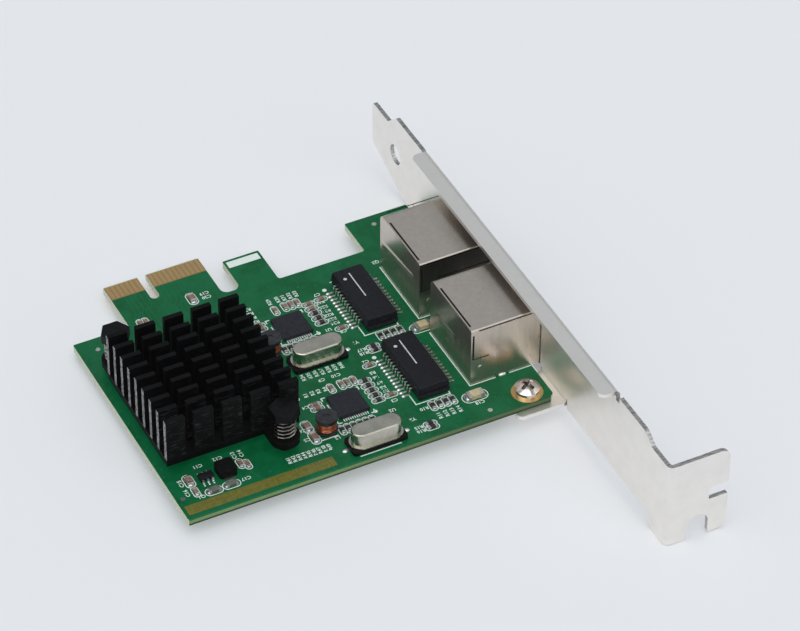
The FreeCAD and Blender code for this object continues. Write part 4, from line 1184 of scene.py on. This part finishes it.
class CARD_OT_jacks(bpy.types.Operator):
    """Jack shields with their seams, inserts and the solder on their tails"""
    bl_idname = "network_card.jacks"
    bl_label = "Jacks"

    def execute(self, context):
        tails = []
        for i in (1, 2):
            eased(f"jack_shield_{i}", "nickel", 0.06)
            eased(f"jack_insert_{i}", "insert", 0.08)
            coat(f"contact_carrier_{i}", "insert")
            low, high = span(f"jack_shield_{i}")
            tails += [(50.1, y, BOARD_TOP, 0.0) for y in (low.y + 0.15, high.y - 0.15)]

        def draw_seams(build):
            for i in (1, 2):
                low, high = span(f"jack_shield_{i}")
                for y in (low.y, high.y):
                    strip(build, [(low.x + 1.6, y), (high.x - 1.7, y)], 0.024, high.z - 0.4, high.z - 0.2)

        drawn_piece("shield_seams", draw_seams, "base")
        repeated("tail_solder", mound_pattern, tails, "solder", "tin_plating", Length=1.8, Width=0.8,
                 Height=0.4)
        coat("solder_joints", "tin")
        return {"FINISHED"}


# More steel than this behind a face, in millimetres, and it is a narrow side of the sheet
SIDE_DEPTH = 1.6


def sheared_sides(mesh):
    """The sheet's narrow sides, streaked by the shears."""
    tree = BVHTree.FromPolygons([vert.co for vert in mesh.vertices],
                                [face.vertices for face in mesh.polygons])
    strip_side = (span("jack_shield_1")[1].x - 1.5) * MM

    def is_side(face):
        depth = tree.ray_cast(face.center - face.normal * 0.01 * MM, -face.normal)[3]
        return face.center.x > strip_side and (depth is None or depth > SIDE_DEPTH * MM)

    refinish(mesh, "cut_steel", is_side)


def painted_recess_shade(mesh):
    """The walls of the cross in each screw head, which lie under its dome, get a darker finish: painted shade
    in the recess.
    """
    low, high = span("bracket_screws")
    radius = (high.x - low.x) / 2
    dome = radius * 1.7
    heads = [Vector((middle((low.x, high.x)), y)) for y in (low.y + radius, high.y - radius)]

    def is_recess(face):
        centre = face.center / MM
        away = min((centre.xy - head).length for head in heads)
        return away < radius * 0.8 and centre.z < high.z - (dome - math.sqrt(dome ** 2 - away ** 2)) - 0.12

    refinish(mesh, "recess", is_recess)


class CARD_OT_bracket(bpy.types.Operator):
    """Folded steel bracket and the screws that hold it"""
    bl_idname = "network_card.bracket"
    bl_label = "Bracket"

    def execute(self, context):
        eased("bracket", "steel", 0.16, second_finish=sheared_sides)
        eased("bracket_screws", "screw", 0.09, second_finish=painted_recess_shade)
        return {"FINISHED"}


# Stage

def resting_plane():
    """The plane that the card rests on, under its balance point: a point and an upward normal."""
    build = bmesh.new()
    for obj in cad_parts.values():
        build.from_mesh(obj.data)
    hull = bmesh.ops.convex_hull(build, input=build.verts)["geom"]
    balance = Vector((24, -40, 0)) * MM
    steepest = 0.3
    slack = 1e-12
    best = None
    for face in hull:
        if not isinstance(face, bmesh.types.BMFace) or abs(face.normal.z) < steepest:
            continue
        points = [vert.co.copy() for vert in face.verts]
        normal = (points[1] - points[0]).cross(points[2] - points[0]).normalized()
        if normal.z < 0:
            normal.negate()
            points.reverse()
        drop = points[0].z - (normal.xy.dot(balance.xy - points[0].xy)) / normal.z
        inside = all((b.xy - a.xy).cross(balance.xy - a.xy) >= -slack
                     for a, b in zip(points, points[1:] + points[:1]))
        if inside and (best is None or drop < best[2]):
            best = (points[0], normal, drop)
    build.free()
    return best[0], best[1]


def far_light(name, way, strength, tint):
    """A broad light from far away, so that the floor is lit evenly. Only the surround casts a soft shadow."""
    light = bpy.data.lights.new(name, "SUN")
    light.energy = strength
    light.angle = math.radians(60)
    light.color = tint
    light.use_shadow = False
    linked(name, light).rotation_euler = (-Vector(way)).to_track_quat("-Z", "Y").to_euler()


# Tones of the surround by height, from the horizon up to overhead
SURROUND_TONES = ((0.0, 0.55), (0.45, 0.8), (0.75, 1.1), (1.0, 1.9))


def light_all_round(look):
    """The surround: darker low down, brightest overhead."""
    world = bpy.data.worlds.new("surround")
    world.use_nodes = True
    sky = Tree(world.node_tree)
    way = sky.add("ShaderNodeTexCoord", output="Generated")
    height = sky.add("ShaderNodeSeparateXYZ", inputs={0: way}, output="Z")
    stops = [(place, (*(channel * tone for channel in look.surround), 1.0)) for place, tone in SURROUND_TONES]
    ramp = sky.add("ShaderNodeValToRGB", {"stops": stops}, {"Fac": height})
    background = world.node_tree.nodes["Background"]
    world.node_tree.links.new(ramp.socket, background.inputs["Color"])
    background.inputs["Strength"].default_value = look.surround_strength
    bpy.context.scene.world = world


def lay_floor(look):
    """A plain pale floor that the card rests on."""
    half = 6.0
    gap = 0.02 * MM
    corners = [(-half, -half, 0.0), (half, -half, 0.0), (half, half, 0.0), (-half, half, 0.0)]
    mesh = bpy.data.meshes.new("floor")
    mesh.from_pydata(corners, [], [(0, 1, 2, 3)])
    point, normal = resting_plane()
    tilt = normal.to_track_quat("Z", "Y").to_matrix().to_4x4()
    mesh.transform(Matrix.Translation(point - normal * gap) @ tilt)
    mesh.materials.append(Finish("floor_paper").shade(Base_Color=look.floor, Roughness=0.8))
    floor = linked("floor", mesh)


# The camera's place in millimetres and its turns in degrees, fitted to the photo
CAMERA_PLACE = (-226.33, -554.60, 521.935)
CAMERA_TURNS = (48.329, -0.3472, -26.7695)


def photo_camera(look):
    """The camera that sees the card as the photo does."""
    camera = bpy.data.cameras.new("camera")
    camera.sensor_fit = "HORIZONTAL"
    camera.sensor_width = 36.0
    camera.lens = look.lens
    camera.clip_start = 0.01
    eye = linked("camera", camera)
    eye.location = Vector(CAMERA_PLACE) * MM
    eye.rotation_euler = [math.radians(turn) for turn in CAMERA_TURNS]
    bpy.context.scene.camera = eye


class CARD_OT_stage(bpy.types.Operator):
    """Pale floor, soft light and the camera"""
    bl_idname = "network_card.stage"
    bl_label = "Stage"

    def execute(self, context):
        look = context.scene.card_studio
        lay_floor(look)
        light_all_round(look)
        far_light("side_light", (-0.7, -0.2, 0.6), look.key, (1.0, 0.985, 0.96))
        far_light("front_light", (0.2, -0.85, 0.45), look.fill, (0.98, 0.99, 1.0))
        far_light("overhead_light", (-0.2, -0.3, 0.93), look.top, (1.0, 1.0, 1.0))
        photo_camera(look)
        context.scene.view_settings.view_transform = "Standard"
        return {"FINISHED"}


OPERATORS = (CARD_OT_board, CARD_OT_contacts, CARD_OT_printing, CARD_OT_heat_sink, CARD_OT_chips,
             CARD_OT_magnetics, CARD_OT_crystals, CARD_OT_inductors, CARD_OT_chip_parts, CARD_OT_jacks,
             CARD_OT_bracket, CARD_OT_stage)
LOOKS = {"card_board": BoardLook, "card_print": PrintLook, "card_metal": MetalLook, "card_studio": StudioLook}


class CARD_PT_panel(bpy.types.Panel):
    """Buttons for every group of pieces, with their sizes and colours"""
    bl_label = "Network Card"
    bl_idname = "CARD_PT_panel"
    bl_space_type = "VIEW_3D"
    bl_region_type = "UI"
    bl_category = "Network Card"

    def draw(self, context):
        for operator in OPERATORS:
            self.layout.operator(operator.bl_idname)
        for name, group in LOOKS.items():
            box = self.layout.box()
            for field in group.__annotations__:
                box.prop(getattr(context.scene, name), field)


def register():
    for group in (*LOOKS.values(), *OPERATORS, CARD_PT_panel):
        bpy.utils.register_class(group)
    for name, group in LOOKS.items():
        setattr(bpy.types.Scene, name, PointerProperty(type=group))


def unregister():
    for name in LOOKS:
        delattr(bpy.types.Scene, name)
    for group in reversed((*LOOKS.values(), *OPERATORS, CARD_PT_panel)):
        bpy.utils.unregister_class(group)


def main():
    register()
    for operator in OPERATORS:
        group, name = operator.bl_idname.split(".")
        getattr(getattr(bpy.ops, group), name)()


if __name__ == "__main__":
    main()
